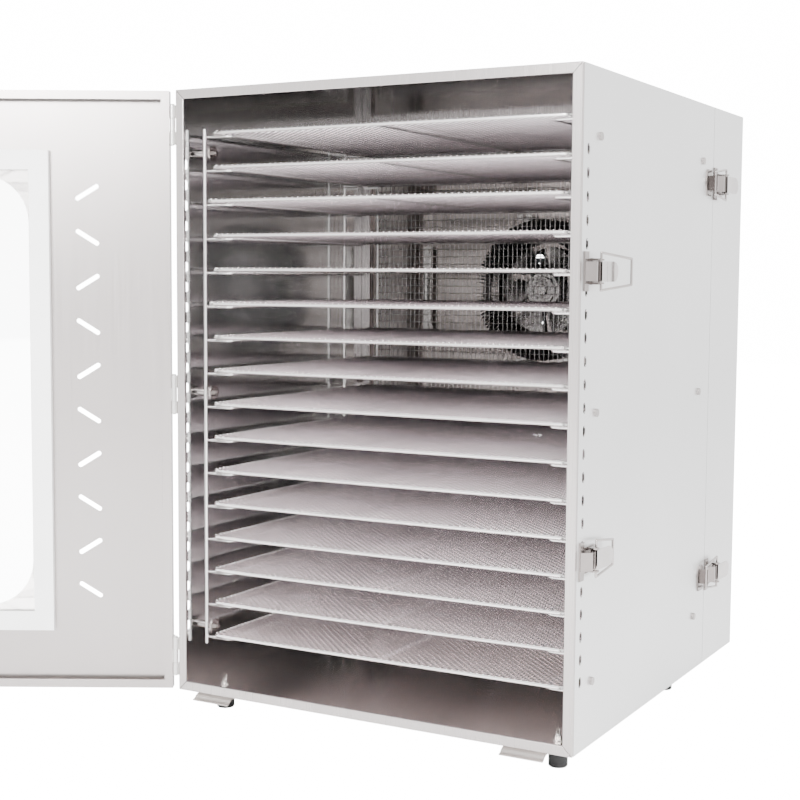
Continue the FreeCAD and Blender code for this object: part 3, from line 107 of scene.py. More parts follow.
def repeated(faces: np.ndarray, copies: int, stride: int) -> list:
    """The same faces for several copies of a shape, each copy's indices moved on by stride.

    Args:
        faces: the faces of one copy.
        copies: how many copies there are.
        stride: points in each copy.

    Returns:
        A list of index lists, one per face.
    """
    shifted = faces[None, :, :] + (np.arange(copies) * stride)[:, None, None]
    return shifted.reshape(-1, faces.shape[1]).tolist()


def sweep(paths: np.ndarray, radius: float, sides: int, reference: np.ndarray,
          closed: bool = False) -> Surface:
    """Round wire along paths: each ring is path + r (cos a * side + sin a * up).

    Side and up are square to the path and to each other.

    Args:
        paths: array (wires, points, 3) of centre lines.
        radius: wire radius in metres.
        sides: corners of the section.
        reference: a direction that no path runs along; it fixes where angle zero is.
        closed: whether each path ends where it begins.

    Returns:
        All the wires as one surface, with flat ends if open.
    """
    count, length, _ = paths.shape
    if closed:
        tangent = np.roll(paths, -1, axis=1) - np.roll(paths, 1, axis=1)
    else:
        tangent = np.gradient(paths, axis=1)
    tangent /= np.linalg.norm(tangent, axis=2, keepdims=True)
    side = np.cross(tangent, reference)
    side /= np.linalg.norm(side, axis=2, keepdims=True)
    up = np.cross(side, tangent)
    angle = np.arange(sides) * 2 * np.pi / sides + np.pi / sides
    rings = paths[:, :, None, :] + radius * (
        np.cos(angle)[None, None, :, None] * side[:, :, None, :]
        + np.sin(angle)[None, None, :, None] * up[:, :, None, :]
    )
    stride = length * sides
    faces = repeated(grid_faces(length, sides, closed, True), count, stride)
    if not closed:
        ring = np.arange(sides)
        faces += repeated(np.stack([ring[::-1], ring + stride - sides]), count, stride)
    return Surface(rings.reshape(-1, 3), faces)


def lathe(profile: Sequence[tuple], centres: np.ndarray, axis: np.ndarray,
          segments: int) -> Surface:
    """A profile of (radius r, height h) turned about an axis through each centre c.

    Each point is c + h * axis + r (cos a * u + sin a * v), with u and v square to the axis.

    Args:
        profile: radius and height pairs, beginning and ending on the axis.
        centres: array (copies, 3) of the places of height zero.
        axis: direction of height.
        segments: corners of the turned circle.

    Returns:
        All the turned copies as one surface.
    """
    shape = np.asarray(profile, float)
    helper = X_AXIS if abs(axis[0]) < 0.9 else Y_AXIS
    u = np.cross(axis, helper)
    u /= np.linalg.norm(u)
    v = np.cross(axis, u)
    angle = np.arange(segments) * 2 * np.pi / segments
    circle = np.cos(angle)[:, None] * u + np.sin(angle)[:, None] * v
    ring = shape[:, 0, None, None] * circle[None] + shape[:, 1, None, None] * axis
    points = np.atleast_2d(centres)[:, None, None, :] + ring[None]
    rows = len(shape)
    faces = repeated(grid_faces(rows, segments, False, True), len(points), rows * segments)
    return Surface(points.reshape(-1, 3), faces)


def blocks(lows: np.ndarray, highs: np.ndarray) -> Surface:
    """Square-cornered blocks from their lowest and highest corners.

    Args:
        lows: lowest corner of each block.
        highs: highest corner of each block.

    Returns:
        All the blocks as one surface.
    """
    low, high = np.atleast_2d(lows), np.atleast_2d(highs)
    pick = np.array([(x, y, z) for x in (0, 1) for y in (0, 1) for z in (0, 1)], float)
    points = low[:, None, :] + pick[None] * (high - low)[:, None, :]
    quads = np.array([(0, 1, 3, 2), (4, 6, 7, 5), (0, 4, 5, 1),
                      (2, 3, 7, 6), (0, 2, 6, 4), (1, 5, 7, 3)])
    return Surface(points.reshape(-1, 3), repeated(quads, len(low), 8))


def plate_stack(outline: np.ndarray, front: np.ndarray, back: np.ndarray) -> Surface:
    """A flat outline at two depths, joined round its edge.

    Args:
        outline: array (points, 3) in order.
        front: offset of the near face.
        back: offset of the far face.

    Returns:
        A closed plate.
    """
    count = len(outline)
    points = np.vstack([outline + front, outline + back])
    faces = grid_faces(2, count, False, True).tolist()
    faces += [tuple(range(count)), tuple(range(2 * count - 1, count - 1, -1))]
    return Surface(points, faces)


# ---------------------------------------------------------------- finishes
class Grain(Enum):
    """How fine marks lie on a surface: scale of the noise along X, Y and Z."""

    SPECKLE = (600.0, 600.0, 600.0)
    ALONG_X = (6.0, 900.0, 900.0)
    ALONG_Y = (900.0, 6.0, 900.0)
    ALONG_Z = (900.0, 900.0, 6.0)
    SOFT = (9.0, 9.0, 9.0)


@dataclass(frozen=True)
class Finish:
    """A procedural surface: colour with slow variation, fine grain in roughness and bump."""

    name: str
    colour: tuple
    metallic: float
    roughness: float
    grain: Grain = Grain.SPECKLE
    grain_roughness: float = 0.06
    grain_depth: float = 0.00002
    variation: float = 0.06
    variation_scale: float = 5.0
    transmission: float = 0.0
    ior: float = 1.45

    def tint(self, factor: float) -> tuple:
        """The base colour times a factor, with alpha.

        Args:
            factor: how much lighter or darker.

        Returns:
            Four numbers from nought to one.
        """
        return tuple(min(1.0, c * factor) for c in self.colour) + (1.0,)

    def noise(self, tree: bpy.types.NodeTree, scale: tuple, detail: float) -> bpy.types.Node:
        """A noise over the piece's own coordinates.

        Args:
            tree: the material's nodes.
            scale: stretch along X, Y and Z.
            detail: octaves.

        Returns:
            The noise node.
        """
        coords = tree.nodes.new("ShaderNodeTexCoord")
        mapping = tree.nodes.new("ShaderNodeMapping")
        mapping.inputs["Scale"].default_value = scale
        noise = tree.nodes.new("ShaderNodeTexNoise")
        noise.inputs["Scale"].default_value = 1.0
        noise.inputs["Detail"].default_value = detail
        tree.links.new(coords.outputs["Object"], mapping.inputs["Vector"])
        tree.links.new(mapping.outputs["Vector"], noise.inputs["Vector"])
        return noise

    def roughness_source(self, tree: bpy.types.NodeTree,
                         grain: bpy.types.Node) -> bpy.types.NodeSocket:
        """Roughness around its middle value, following the grain.

        Args:
            tree: the material's nodes.
            grain: the fine noise.

        Returns:
            The socket that carries the roughness.
        """
        spread = tree.nodes.new("ShaderNodeMapRange")
        spread.inputs["To Min"].default_value = max(0.0, self.roughness - self.grain_roughness)
        spread.inputs["To Max"].default_value = self.roughness + self.grain_roughness
        tree.links.new(grain.outputs["Fac"], spread.inputs["Value"])
        return spread.outputs["Result"]

    def colour_source(self, tree: bpy.types.NodeTree) -> bpy.types.NodeSocket:
        """Base colour, drifting a little darker and lighter.

        Args:
            tree: the material's nodes.

        Returns:
            The socket that carries the colour.
        """
        drift = self.noise(tree, (self.variation_scale,) * 3, 3.0)
        ramp = tree.nodes.new("ShaderNodeValToRGB")
        ramp.color_ramp.elements[0].position = 0.3
        ramp.color_ramp.elements[1].position = 0.7
        ramp.color_ramp.elements[0].color = self.tint(1.0 - self.variation)
        ramp.color_ramp.elements[1].color = self.tint(1.0 + self.variation)
        tree.links.new(drift.outputs["Fac"], ramp.inputs["Fac"])
        return ramp.outputs["Color"]

    def material(self) -> bpy.types.Material:
        """Build the material once and reuse it.

        Returns:
            The Blender material with this finish's name.
        """
        made = bpy.data.materials.get(self.name)
        if made is not None:
            return made
        made = bpy.data.materials.new(self.name)
        made.use_nodes = True
        tree = made.node_tree
        shader = tree.nodes["Principled BSDF"]
        shader.inputs["Metallic"].default_value = self.metallic
        shader.inputs["IOR"].default_value = self.ior
        shader.inputs["Transmission Weight"].default_value = self.transmission
        tree.links.new(self.colour_source(tree), shader.inputs["Base Color"])
        grain = self.noise(tree, self.grain.value, 2.0)
        tree.links.new(self.roughness_source(tree, grain), shader.inputs["Roughness"])
        bump = tree.nodes.new("ShaderNodeBump")
        bump.inputs["Strength"].default_value = BUMP_STRENGTH
        bump.inputs["Distance"].default_value = self.grain_depth
        tree.links.new(grain.outputs["Fac"], bump.inputs["Height"])
        tree.links.new(bump.outputs["Normal"], shader.inputs["Normal"])
        return made


@dataclass(frozen=True)
class TwoSidedSheet(Finish):
    """Sheet that is satin outside and polished inside, told apart by the distance from a plane."""

    axis: int = 0
    middle: float = 0.0
    polished_roughness: float = 0.12
    polished_spread: float = 0.03

    def roughness_source(self, tree: bpy.types.NodeTree,
                         grain: bpy.types.Node) -> bpy.types.NodeSocket:
        """Satin beyond the sheet's middle plane and polished within it.

        Args:
            tree: the material's nodes.
            grain: the fine noise.

        Returns:
            The socket that carries the roughness.
        """
        satin = super().roughness_source(tree, grain)
        bright = tree.nodes.new("ShaderNodeMapRange")
        bright.inputs["To Min"].default_value = self.polished_roughness - self.polished_spread
        bright.inputs["To Max"].default_value = self.polished_roughness + self.polished_spread
        tree.links.new(grain.outputs["Fac"], bright.inputs["Value"])
        coords = tree.nodes.new("ShaderNodeTexCoord")
        split = tree.nodes.new("ShaderNodeSeparateXYZ")
        tree.links.new(coords.outputs["Object"], split.inputs["Vector"])
        beyond = tree.nodes.new("ShaderNodeMath")
        beyond.operation = "GREATER_THAN" if self.middle > 0 else "LESS_THAN"
        beyond.inputs[1].default_value = self.middle
        tree.links.new(split.outputs[self.axis], beyond.inputs[0])
        blend = tree.nodes.new("ShaderNodeMix")
        tree.links.new(beyond.outputs["Value"], blend.inputs["Factor"])
        tree.links.new(bright.outputs["Result"], blend.inputs["A"])
        tree.links.new(satin, blend.inputs["B"])
        return blend.outputs["Result"]


SATIN = Finish("satin_casing", (0.78, 0.78, 0.78), 1.0, 0.34,
               Grain.ALONG_Z, 0.05, 0.000015, 0.02)
TRIM = Finish("bright_trim", (0.52, 0.485, 0.475), 1.0, 0.26,
              Grain.ALONG_Z, 0.06, 0.00002, 0.03)
POLISHED = Finish("polished_lining", (0.36, 0.32, 0.305), 1.0, 0.14,
                  Grain.ALONG_Y, 0.03, 0.000006, 0.05)
DOOR_STEEL = Finish("door_steel", (0.47, 0.435, 0.425), 1.0, 0.30,
                    Grain.ALONG_Z, 0.05, 0.00002, 0.10, 2.5)
WIRE = Finish("plated_wire", (0.84, 0.82, 0.81), 1.0, 0.24,
              Grain.SPECKLE, 0.06, 0.00001, 0.05, 20.0)
MESH = Finish("woven_wire", (0.86, 0.80, 0.815), 1.0, 0.20,
              Grain.SPECKLE, 0.08, 0.00001, 0.08, 9.0)
BRIGHT = Finish("bright_fastener", (0.62, 0.60, 0.58), 1.0, 0.18,
                Grain.SPECKLE, 0.05, 0.00001, 0.05, 60.0)
# Painted shade: the latch steel is darkened to stand in for the contact shadows in the latches.
# The base under the lever is darkest, the wire is between and the lever is lightest.
SHADED_LATCH_BASE = Finish("latch_base", (0.30, 0.27, 0.26), 1.0, 0.16,
                    Grain.ALONG_Y, 0.05, 0.00001, 0.06, 40.0)
SHADED_LATCH_LEVER = Finish("latch_lever_shaded", (0.56, 0.53, 0.52), 1.0, 0.12,
                     Grain.ALONG_Y, 0.05, 0.00001, 0.06, 40.0)
SHADED_LATCH_WIRE = Finish("latch_wire_shaded", (0.42, 0.39, 0.38), 1.0, 0.14,
                    Grain.SPECKLE, 0.05, 0.00001, 0.06, 40.0)
# Painted shade: the rack screws are the bright fastener steel made darker, standing in for the
# shading on their domed heads.
SHADED_RACK_SCREW = Finish("rack_screw", (0.40, 0.37, 0.36), 1.0, 0.16,
                    Grain.SPECKLE, 0.05, 0.00001, 0.05, 60.0)
# Painted light: the chamber floor is the polished lining steel in a lighter tone, standing in for
# the front light falling on the floor.
LIT_CHAMBER_FLOOR = Finish("chamber_floor_painted_light", (0.56, 0.51, 0.49), 1.0, 0.20,
                       Grain.ALONG_X, 0.04, 0.000008, 0.05)
HINGE = Finish("hinge_steel", (0.72, 0.71, 0.69), 1.0, 0.30,
               Grain.ALONG_Z, 0.06, 0.00002, 0.05, 30.0)
FAN_METAL = Finish("fan_sheet", (0.46, 0.44, 0.43), 1.0, 0.28,
                   Grain.SPECKLE, 0.08, 0.00002, 0.10, 30.0)
LIP_STEEL = Finish("lip_steel", (0.46, 0.425, 0.40), 1.0, 0.30,
                   Grain.ALONG_X, 0.05, 0.00002, 0.06, 30.0)
HEATER_METAL = Finish("heater_fins", (0.13, 0.12, 0.115), 1.0, 0.42,
                      Grain.SPECKLE, 0.10, 0.00002, 0.18, 25.0)
RUBBER = Finish("foot_rubber", (0.022, 0.022, 0.023), 0.0, 0.62,
                Grain.SPECKLE, 0.10, 0.00005, 0.15, 60.0)
SILICONE = Finish("white_silicone", (0.94, 0.94, 0.935), 0.0, 0.48,
                  Grain.SPECKLE, 0.06, 0.00003, 0.03, 20.0)
PLASTIC = Finish("black_plastic", (0.028, 0.028, 0.030), 0.0, 0.42,
                 Grain.SPECKLE, 0.08, 0.00006, 0.12, 50.0)
MARK = Finish("white_mark", (0.80, 0.80, 0.78), 0.0, 0.5,
              Grain.SPECKLE, 0.04, 0.00001, 0.04, 50.0)
MOTOR_PAINT = Finish("motor_paint", (0.05, 0.05, 0.055), 0.2, 0.45,
                     Grain.SPECKLE, 0.08, 0.00005, 0.12, 30.0)
GLASS = Finish("door_pane", (0.97, 0.985, 0.98), 0.0, 0.03,
               Grain.SOFT, 0.03, 0.000001, 0.01, 4.0, 1.0, 1.45)

PAPER = Finish("studio_paper", (0.92, 0.92, 0.92), 0.0, 0.8, Grain.SOFT, 0.02, 0.00001, 0.01, 1.0)


# ---------------------------------------------------------------- placing
def corners(node: str) -> tuple:
    """Lowest and highest corners of a node's box, as arrays.

    Args:
        node: the CAD node's name.

    Returns:
        Two arrays of three numbers.
    """
    low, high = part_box(node)
    return np.array(low), np.array(high)


def add_piece(name: str, surface: Surface, finish: Finish, body: str,
              stands_for: Iterable[str] = (), smooth: bool = True,
              bevel: float = 0.0) -> bpy.types.Object:
    """Make a mesh object, close its poles, point its faces outwards and hang it on a body.

    Args:
        name: the piece's name.
        surface: its points and faces, in the row frame.
        finish: its look.
        body: the body it moves with.
        stands_for: CAD nodes it replaces.
        smooth: whether faces are shaded smooth where they meet gently.
        bevel: width of a rounded edge, or nought.

    Returns:
        The new object.
    """
    mesh = bpy.data.meshes.new(name)
    mesh.from_pydata(surface.points.tolist(), [], surface.faces)
    work = bmesh.new()
    work.from_mesh(mesh)
    bmesh.ops.remove_doubles(work, verts=work.verts, dist=MERGE_DISTANCE)
    bmesh.ops.recalc_face_normals(work, faces=work.faces)
    work.to_mesh(mesh)
    work.free()
    mesh.materials.append(finish.material())
    piece = bpy.data.objects.new(name, mesh)
    bpy.context.scene.collection.objects.link(piece)
    if smooth:
        mesh.shade_smooth()
        mesh.set_sharp_from_angle(angle=SMOOTH_ANGLE)
    if bevel > 0:
        rounding = piece.modifiers.new("edge", "BEVEL")
        rounding.width = bevel
        rounding.segments = BEVEL_SEGMENTS
        rounding.limit_method = "ANGLE"
    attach(piece, body)
    if stands_for:
        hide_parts(*stands_for)
    LOG.info("made %s on %s: %d faces", name, body, len(mesh.polygons))
    return piece


def dress(node: str, finish: Finish) -> None:
    """Give a CAD node its finish.

    Args:
        node: the CAD node's name.
        finish: its look.
    """
    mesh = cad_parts[node].data
    mesh.materials.clear()
    mesh.materials.append(finish.material())
    LOG.info("dressed %s in %s", node, finish.name)


# ---------------------------------------------------------------- sub-assemblies
@dataclass
class Casing:
    """Sheet casing: sides, roof, floor, mitred front trim and rear rim."""

    trim_width: float = 0.010
    rear_width: float = 0.012
    mitre_gap: float = 0.00015
    edge: float = 0.0006
    sheet_grain: float = 0.000008

    def trim(self, node: str, name: str, width: float) -> None:
        """Four mitred bars: each is a trapezoid from two outer to two inner corners, pushed back.

        Args:
            node: the CAD frame to follow.
            name: the new piece's name.
            width: width of each bar.
        """
        low, high = corners(node)
        outer = np.array([(low[0], low[2]), (high[0], low[2]),
                          (high[0], high[2]), (low[0], high[2])])
        inward = np.array([(1, 1), (-1, 1), (-1, -1), (1, -1)]) * width
        inner = outer + inward
        bars = []
        for i in range(4):
            k = (i + 1) % 4
            along = (outer[k] - outer[i]) / np.linalg.norm(outer[k] - outer[i]) * self.mitre_gap
            flat = np.array([outer[i] + along, outer[k] - along,
                             inner[k] - along, inner[i] + along])
            outline = np.insert(flat, 1, 0.0, axis=1)
            bars.append(plate_stack(outline, Y_AXIS * low[1], Y_AXIS * high[1]))
        add_piece(name, bars[0].joined(*bars[1:]), TRIM, "cabinet", [node], False,
                  self.edge)

    def build(self) -> None:
        """Dress the sheets and make both trims."""
        for node, axis, grain in (("side_panel_left", 0, Grain.ALONG_Z),
                                  ("side_panel_right", 0, Grain.ALONG_Z),
                                  ("top_panel", 2, Grain.ALONG_Y)):
            low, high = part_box(node)
            look = TwoSidedSheet("sheet_" + node, SATIN.colour, SATIN.metallic, SATIN.roughness,
                                 grain, SATIN.grain_roughness, grain_depth=self.sheet_grain,
                                 variation=SATIN.variation, axis=axis,
                                 middle=(low[axis] + high[axis]) / 2)
            dress(node, look)
        # The floor panel gets the lighter copy of the lining steel: painted light from the front.
        dress("floor_panel", LIT_CHAMBER_FLOOR)
        dress("module_wrap", SATIN)
        dress("module_cover", SATIN)
        dress("bulkhead", POLISHED)
        dress("door_rest_lips", LIP_STEEL)
        self.trim("front_frame", "front_trim_bars", self.trim_width)
        self.trim("rear_rim", "rear_rim_bars", self.rear_width)


@dataclass
class Trays:
    """Sixteen trays: two sets of crimped wires woven together in a studded wire frame."""

    count: int = 16
    pitch: float = 0.0044
    wire: float = 0.0005
    warp_crimp: float = 0.0013
    weft_crimp: float = 0.0007
    frame_wire: float = 0.0018
    rim_below_top: float = 0.0008
    cloth_above_rim: float = 0.0006
    corner: float = 0.009
    stud_pitch: float = 0.0069
    stud: float = 0.0011
    bar_width: float = 0.008
    bar_inset: float = 0.002
    bar_top: float = 0.0009
    bar_bottom: float = 0.0017
    wire_sides: int = 3
    frame_sides: int = 8
    stud_sides: int = 6
    corner_points: int = 7

    def frame_path(self, low: np.ndarray, high: np.ndarray, level: float) -> np.ndarray:
        """Centre line of the frame: a rectangle whose corners are quarter circles.

        Args:
            low: lowest corner of the tray.
            high: highest corner.
            level: height of the line.

        Returns:
            An array (1, points, 3).
        """
        r, c = self.frame_wire, self.corner
        centres = [(high[0] - r - c, low[1] + r + c), (high[0] - r - c, high[1] - r - c),
                   (low[0] + r + c, high[1] - r - c), (low[0] + r + c, low[1] + r + c)]
        arcs = []
        for i, (x, y) in enumerate(centres):
            angle = np.radians(-90 + 90 * i + np.linspace(0, 90, self.corner_points))
            height = np.full(self.corner_points, level)
            arcs.append(np.stack([x + c * np.cos(angle), y + c * np.sin(angle), height], axis=1))
        return np.vstack(arcs)[None]

    def grid(self, low: np.ndarray, high: np.ndarray) -> tuple:
        """Places of the wires both ways, and 1 or -1 where the warp lies over or under.

        Args:
            low: lowest corner of the tray.
            high: highest corner.

        Returns:
            Places across, places along, and the sign at each crossing.
        """
        rim = 2 * self.frame_wire
        cells = [round((high[i] - low[i]) / self.pitch) for i in (0, 1)]
        xs, ys = (np.linspace(low[i] + rim, high[i] - rim, cells[i] + 1)[1:-1] for i in (0, 1))
        odd = (np.arange(len(xs))[:, None] + np.arange(len(ys))[None, :]) % 2
        return xs, ys, 1 - 2 * odd

    def to_rims(self, places: np.ndarray, low: float, high: float) -> np.ndarray:
        """Add the centre lines of the two rims, where every wire ends.

        Args:
            places: crossings along the wire.
            low: outer edge of the first rim.
            high: outer edge of the second rim.

        Returns:
            The crossings with an end before and after them.
        """
        return np.concatenate([[low + self.frame_wire], places, [high - self.frame_wire]])

    def weft(self, low: np.ndarray, high: np.ndarray, level: float) -> Surface:
        """Wires across the tray, dipping by the weft crimp wherever the warp passes over.

        Args:
            low: lowest corner of the tray.
            high: highest corner.
            level: height of the cloth.

        Returns:
            All the weft wires.
        """
        xs, ys, over = self.grid(low, high)
        rise = np.pad(level - over * self.weft_crimp, ((1, 1), (0, 0)), constant_values=level).T
        ends = self.to_rims(xs, low[0], high[0])
        paths = np.stack(np.broadcast_arrays(ends, ys[:, None], rise), axis=2)
        return sweep(paths, self.wire, self.wire_sides, Y_AXIS)

    def warp(self, low: np.ndarray, high: np.ndarray, level: float) -> Surface:
        """Wires along the tray that pass over one weft wire and under the next, in step with it.

        Args:
            low: lowest corner of the tray.
            high: highest corner.
            level: height of the cloth.

        Returns:
            All the warp wires.
        """
        xs, ys, over = self.grid(low, high)
        rise = np.pad(level + over * self.warp_crimp, ((0, 0), (1, 1)), constant_values=level)
        ends = self.to_rims(ys, low[1], high[1])
        paths = np.stack(np.broadcast_arrays(xs[:, None], ends, rise), axis=2)
        return sweep(paths, self.wire, self.wire_sides, X_AXIS)

    def studs(self, low: np.ndarray, high: np.ndarray, level: float) -> Surface:
        """Small domes where mesh wires are welded over the frame, evenly spaced all round.

        Args:
            low: lowest corner of the tray.
            high: highest corner.
            level: height of the frame's centre line.

        Returns:
            All the domes.
        """
        xs = np.arange(low[0] + self.corner, high[0] - self.corner, self.stud_pitch)
        ys = np.arange(low[1] + self.corner, high[1] - self.corner, self.stud_pitch)
        r = self.frame_wire
        top = level + r + self.rim_below_top - self.stud * 0.7
        sides = [np.stack(np.broadcast_arrays(xs, y, top), axis=1)
                 for y in (low[1] + r, high[1] - r)]
        sides += [np.stack(np.broadcast_arrays(x, ys, top), axis=1)
                  for x in (low[0] + r, high[0] - r)]
        dome = [(0, -self.stud), (self.stud, -self.stud), (self.stud, 0),
                (self.stud * 0.6, self.stud * 0.5), (0, self.stud * 0.7)]
        return lathe(dome, np.vstack(sides), Z_AXIS, self.stud_sides)

    def build(self) -> None:
        """Make every tray in place of its slab."""
        for number in range(1, self.count + 1):
            node = "tray_%02d" % number
            low, high = corners(node)
            level = high[2] - self.rim_below_top - self.frame_wire
            deck = level + self.cloth_above_rim
            half = self.bar_width / 2
            middle = (low[0] + high[0]) / 2
            bar = blocks((middle - half, low[1] + self.bar_inset, level - self.bar_bottom),
                         (middle + half, high[1] - self.bar_inset, level - self.bar_top))
            cloth = self.weft(low, high, deck).joined(self.warp(low, high, deck))
            add_piece(node + "_cloth", cloth, MESH, node, [node])
            ring = sweep(self.frame_path(low, high, level), self.frame_wire, self.frame_sides,
                         Z_AXIS, True)
            rim = ring.joined(self.studs(low, high, level), bar)
            add_piece(node + "_rim", rim, WIRE, node)


@dataclass
class Guard:
    """Welded wire guard in front of the fans."""

    frame_wire: float = 0.0015
    wire: float = 0.0006
    pitch_x: float = 0.0062
    pitch_z: float = 0.0092
    tab_reach: float = 0.020
    tab_height: float = 0.011
    tab_inset: float = 0.04
    tab_front: float = 0.0004
    tab_back: float = 0.002
    tabs_a_side: int = 3
    crossing: float = 0.9
    frame_sides: int = 8
    wire_sides: int = 5

    def build(self) -> None:
        """Upright wires lie on level wires inside the frame; the tabs are small plates."""
        low, high = corners("guard_screen")
        y = low[1] + self.frame_wire
        x0, x1 = low[0] + self.tab_reach, high[0] - self.tab_reach
        z0, z1 = low[2] + self.frame_wire, high[2] - self.frame_wire
        mitres = np.array([(x0, y, z0), (x1, y, z0), (x1, y, z1), (x0, y, z1)])
        edges = np.stack([mitres, np.roll(mitres, -1, axis=0)], axis=1)
        rim = sweep(edges, self.frame_wire, self.frame_sides, Y_AXIS)
        xs = np.arange(x0 + self.pitch_x, x1, self.pitch_x)
        zs = np.arange(z0 + self.pitch_z, z1, self.pitch_z)
        apart = self.wire * self.crossing
        upright = np.stack(np.broadcast_arrays(xs[:, None], y - apart, np.array((z0, z1))), axis=2)
        level = np.stack(np.broadcast_arrays(np.array((x0, x1)), y + apart, zs[:, None]), axis=2)
        half = self.tab_height / 2
        tabs = []
        for side, x in ((-1, x0), (1, x1)):
            for z in np.linspace(z0 + self.tab_inset, z1 - self.tab_inset, self.tabs_a_side):
                a, b = sorted((x, x + side * self.tab_reach))
                tabs.append(((a, y + self.tab_front, z - half), (b, y + self.tab_back, z + half)))
        plates = blocks(np.array([t[0] for t in tabs]), np.array([t[1] for t in tabs]))
        wires = sweep(upright, self.wire, self.wire_sides, Y_AXIS)
        mesh = wires.joined(sweep(level, self.wire, self.wire_sides, Y_AXIS), rim, plates)
        add_piece("guard_wires", mesh, WIRE, "cabinet", ["guard_screen"])


@dataclass
class RearModule:
    """Fans with cambered blades, finned heater rings, motors and the probe."""

    blade_count: int = 6
    blade_sweep: float = 42.0
    hub_radius: float = 0.024
    fin_count: int = 118
    fin_thickness: float = 0.0005
    core_radius: float = 0.0052
    blade_root: float = 0.9
    blade_taper: float = 0.15
    blade_lean: float = 0.18
    blade_pitch: float = 0.9
    blade_camber: float = 0.12
    blade_sheet: float = 0.0008
    blade_depth: float = 0.0125
    blade_middle: float = 0.0085
    hub_depth: float = 0.014
    shaft_radius: float = 0.004
    hub_segments: int = 40
    ring_points: int = 72
    fin_gap: float = 0.0003
    fin_segments: int = 14

    def blade(self, centre: np.ndarray, tip: float, depth: float) -> Surface:
        """Cambered blades: radius r from hub to tip, angle t across.

        The depth is pitch * t plus camber * cos(pi t), both times the depth of the ring.

        Args:
            centre: middle of the blade ring.
            tip: outer radius.
            depth: axial depth of the blade ring.

        Returns:
            All the blades as one closed surface.
        """
        r = np.linspace(self.hub_radius * self.blade_root, tip, 7)[:, None]
        t = np.linspace(-0.5, 0.5, 9)[None, :]
        inwards = (r - tip) / (self.hub_radius - tip)
        width = np.radians(self.blade_sweep) * (1.0 - self.blade_taper * inwards)
        lean = self.blade_lean * (r - self.hub_radius) / tip
        slope = t * depth * self.blade_pitch + self.blade_camber * depth * np.cos(np.pi * t)
        blades = []
        for k in range(self.blade_count):
            a = 2 * np.pi * k / self.blade_count + t * width + lean
            front = np.stack(np.broadcast_arrays(r * np.cos(a), slope, r * np.sin(a)), axis=2)
            front = front + centre
            back = front + Y_AXIS * self.blade_sheet
            rows, columns = front.shape[:2]
            index = np.arange(rows * columns).reshape(rows, columns)
            edge = np.concatenate([index[0, :-1], index[:-1, -1],
                                   index[-1, :0:-1], index[:0:-1, 0]])
            after = np.roll(edge, -1)
            behind = rows * columns
            sheet = grid_faces(rows, columns, False, False)
            faces = sheet.tolist() + (sheet[:, ::-1] + behind).tolist()
            faces += np.stack([edge, after, after + behind, edge + behind], 1).tolist()
            blades.append(Surface(np.vstack([front.reshape(-1, 3), back.reshape(-1, 3)]), faces))
        return blades[0].joined(*blades[1:])

    def fan(self, node: str) -> None:
        """Hub turned from a stepped profile, with the blades and shaft.

        Args:
            node: the CAD wheel to follow.
        """
        low, high = corners(node)
        centre = np.array(((low[0] + high[0]) / 2, low[1], (low[2] + high[2]) / 2))
        tip = (high[0] - low[0]) / 2
        hub, back, shaft = self.hub_radius, self.hub_depth, self.shaft_radius
        length = high[1] - low[1]
        profile = [(0, 0), (0.006, 0), (0.0075, 0.002), (0.0115, 0.0022), (0.0125, 0.0005),
                   (0.0165, 0.0006), (0.018, 0.0032), (hub - 0.002, 0.0034), (hub, 0.0055),
                   (hub, back), (shaft, back), (shaft, length), (0, length)]
        body = lathe(profile, centre, Y_AXIS, self.hub_segments)
        blades = self.blade(centre + Y_AXIS * self.blade_middle, tip, self.blade_depth)
        add_piece(node + "_wheel", body.joined(blades), FAN_METAL, node, [node])

    def heaters(self) -> None:
        """A core tube bent into a ring, with thin washers for fins standing square to it."""
        low, high = corners("heater_rings")
        section = (high[1] - low[1]) / 2
        radius = (high[0] - low[0]) / 2 - section
        y = (low[1] + high[1]) / 2
        x = (low[0] + high[0]) / 2
        half, rim = self.fin_thickness / 2, section - self.fin_gap
        profile = [(0, -half), (rim, -half), (rim, half), (0, half)]
        turn = np.arange(self.ring_points) * 2 * np.pi / self.ring_points
        parts = []
        for z in (low[2] + radius + section, high[2] - radius - section):
            core = np.stack(np.broadcast_arrays(x + radius * np.cos(turn), y,
                                                z + radius * np.sin(turn)), axis=1)
            parts.append(sweep(core[None], self.core_radius, 8, Y_AXIS, True))
            for a in np.arange(self.fin_count) * 2 * np.pi / self.fin_count:
                outward = np.array((np.cos(a), 0, np.sin(a)))
                along = np.array((-np.sin(a), 0, np.cos(a)))
                centre = np.array((x, y, z)) + radius * outward
                parts.append(lathe(profile, centre, along, self.fin_segments))
        add_piece("heater_fins_and_core", parts[0].joined(*parts[1:]), HEATER_METAL, "cabinet",
                  ["heater_rings"])

    def build(self) -> None:
        """Make fans and heaters and dress the rest."""
        self.fan("fan_lower")
        self.fan("fan_upper")
        self.heaters()
        dress("fan_motors", MOTOR_PAINT)
        dress("module_fixings", BRIGHT)
        dress("temperature_probe", BRIGHT)


@dataclass
class Door:
    """Folded door with its pane, silicone frame and hinges."""

    def build(self) -> None:
        """Dress the door's nodes."""
        dress("door_shell", DOOR_STEEL)
        dress("door_glass", GLASS)
        dress("door_gasket", SILICONE)
        # The keepers take the darkened latch base steel: painted shade.
        dress("door_keepers", SHADED_LATCH_BASE)
        for node in ("hinge_leaves_door", "hinge_leaves_cabinet", "hinge_pins"):
            dress(node, HINGE)


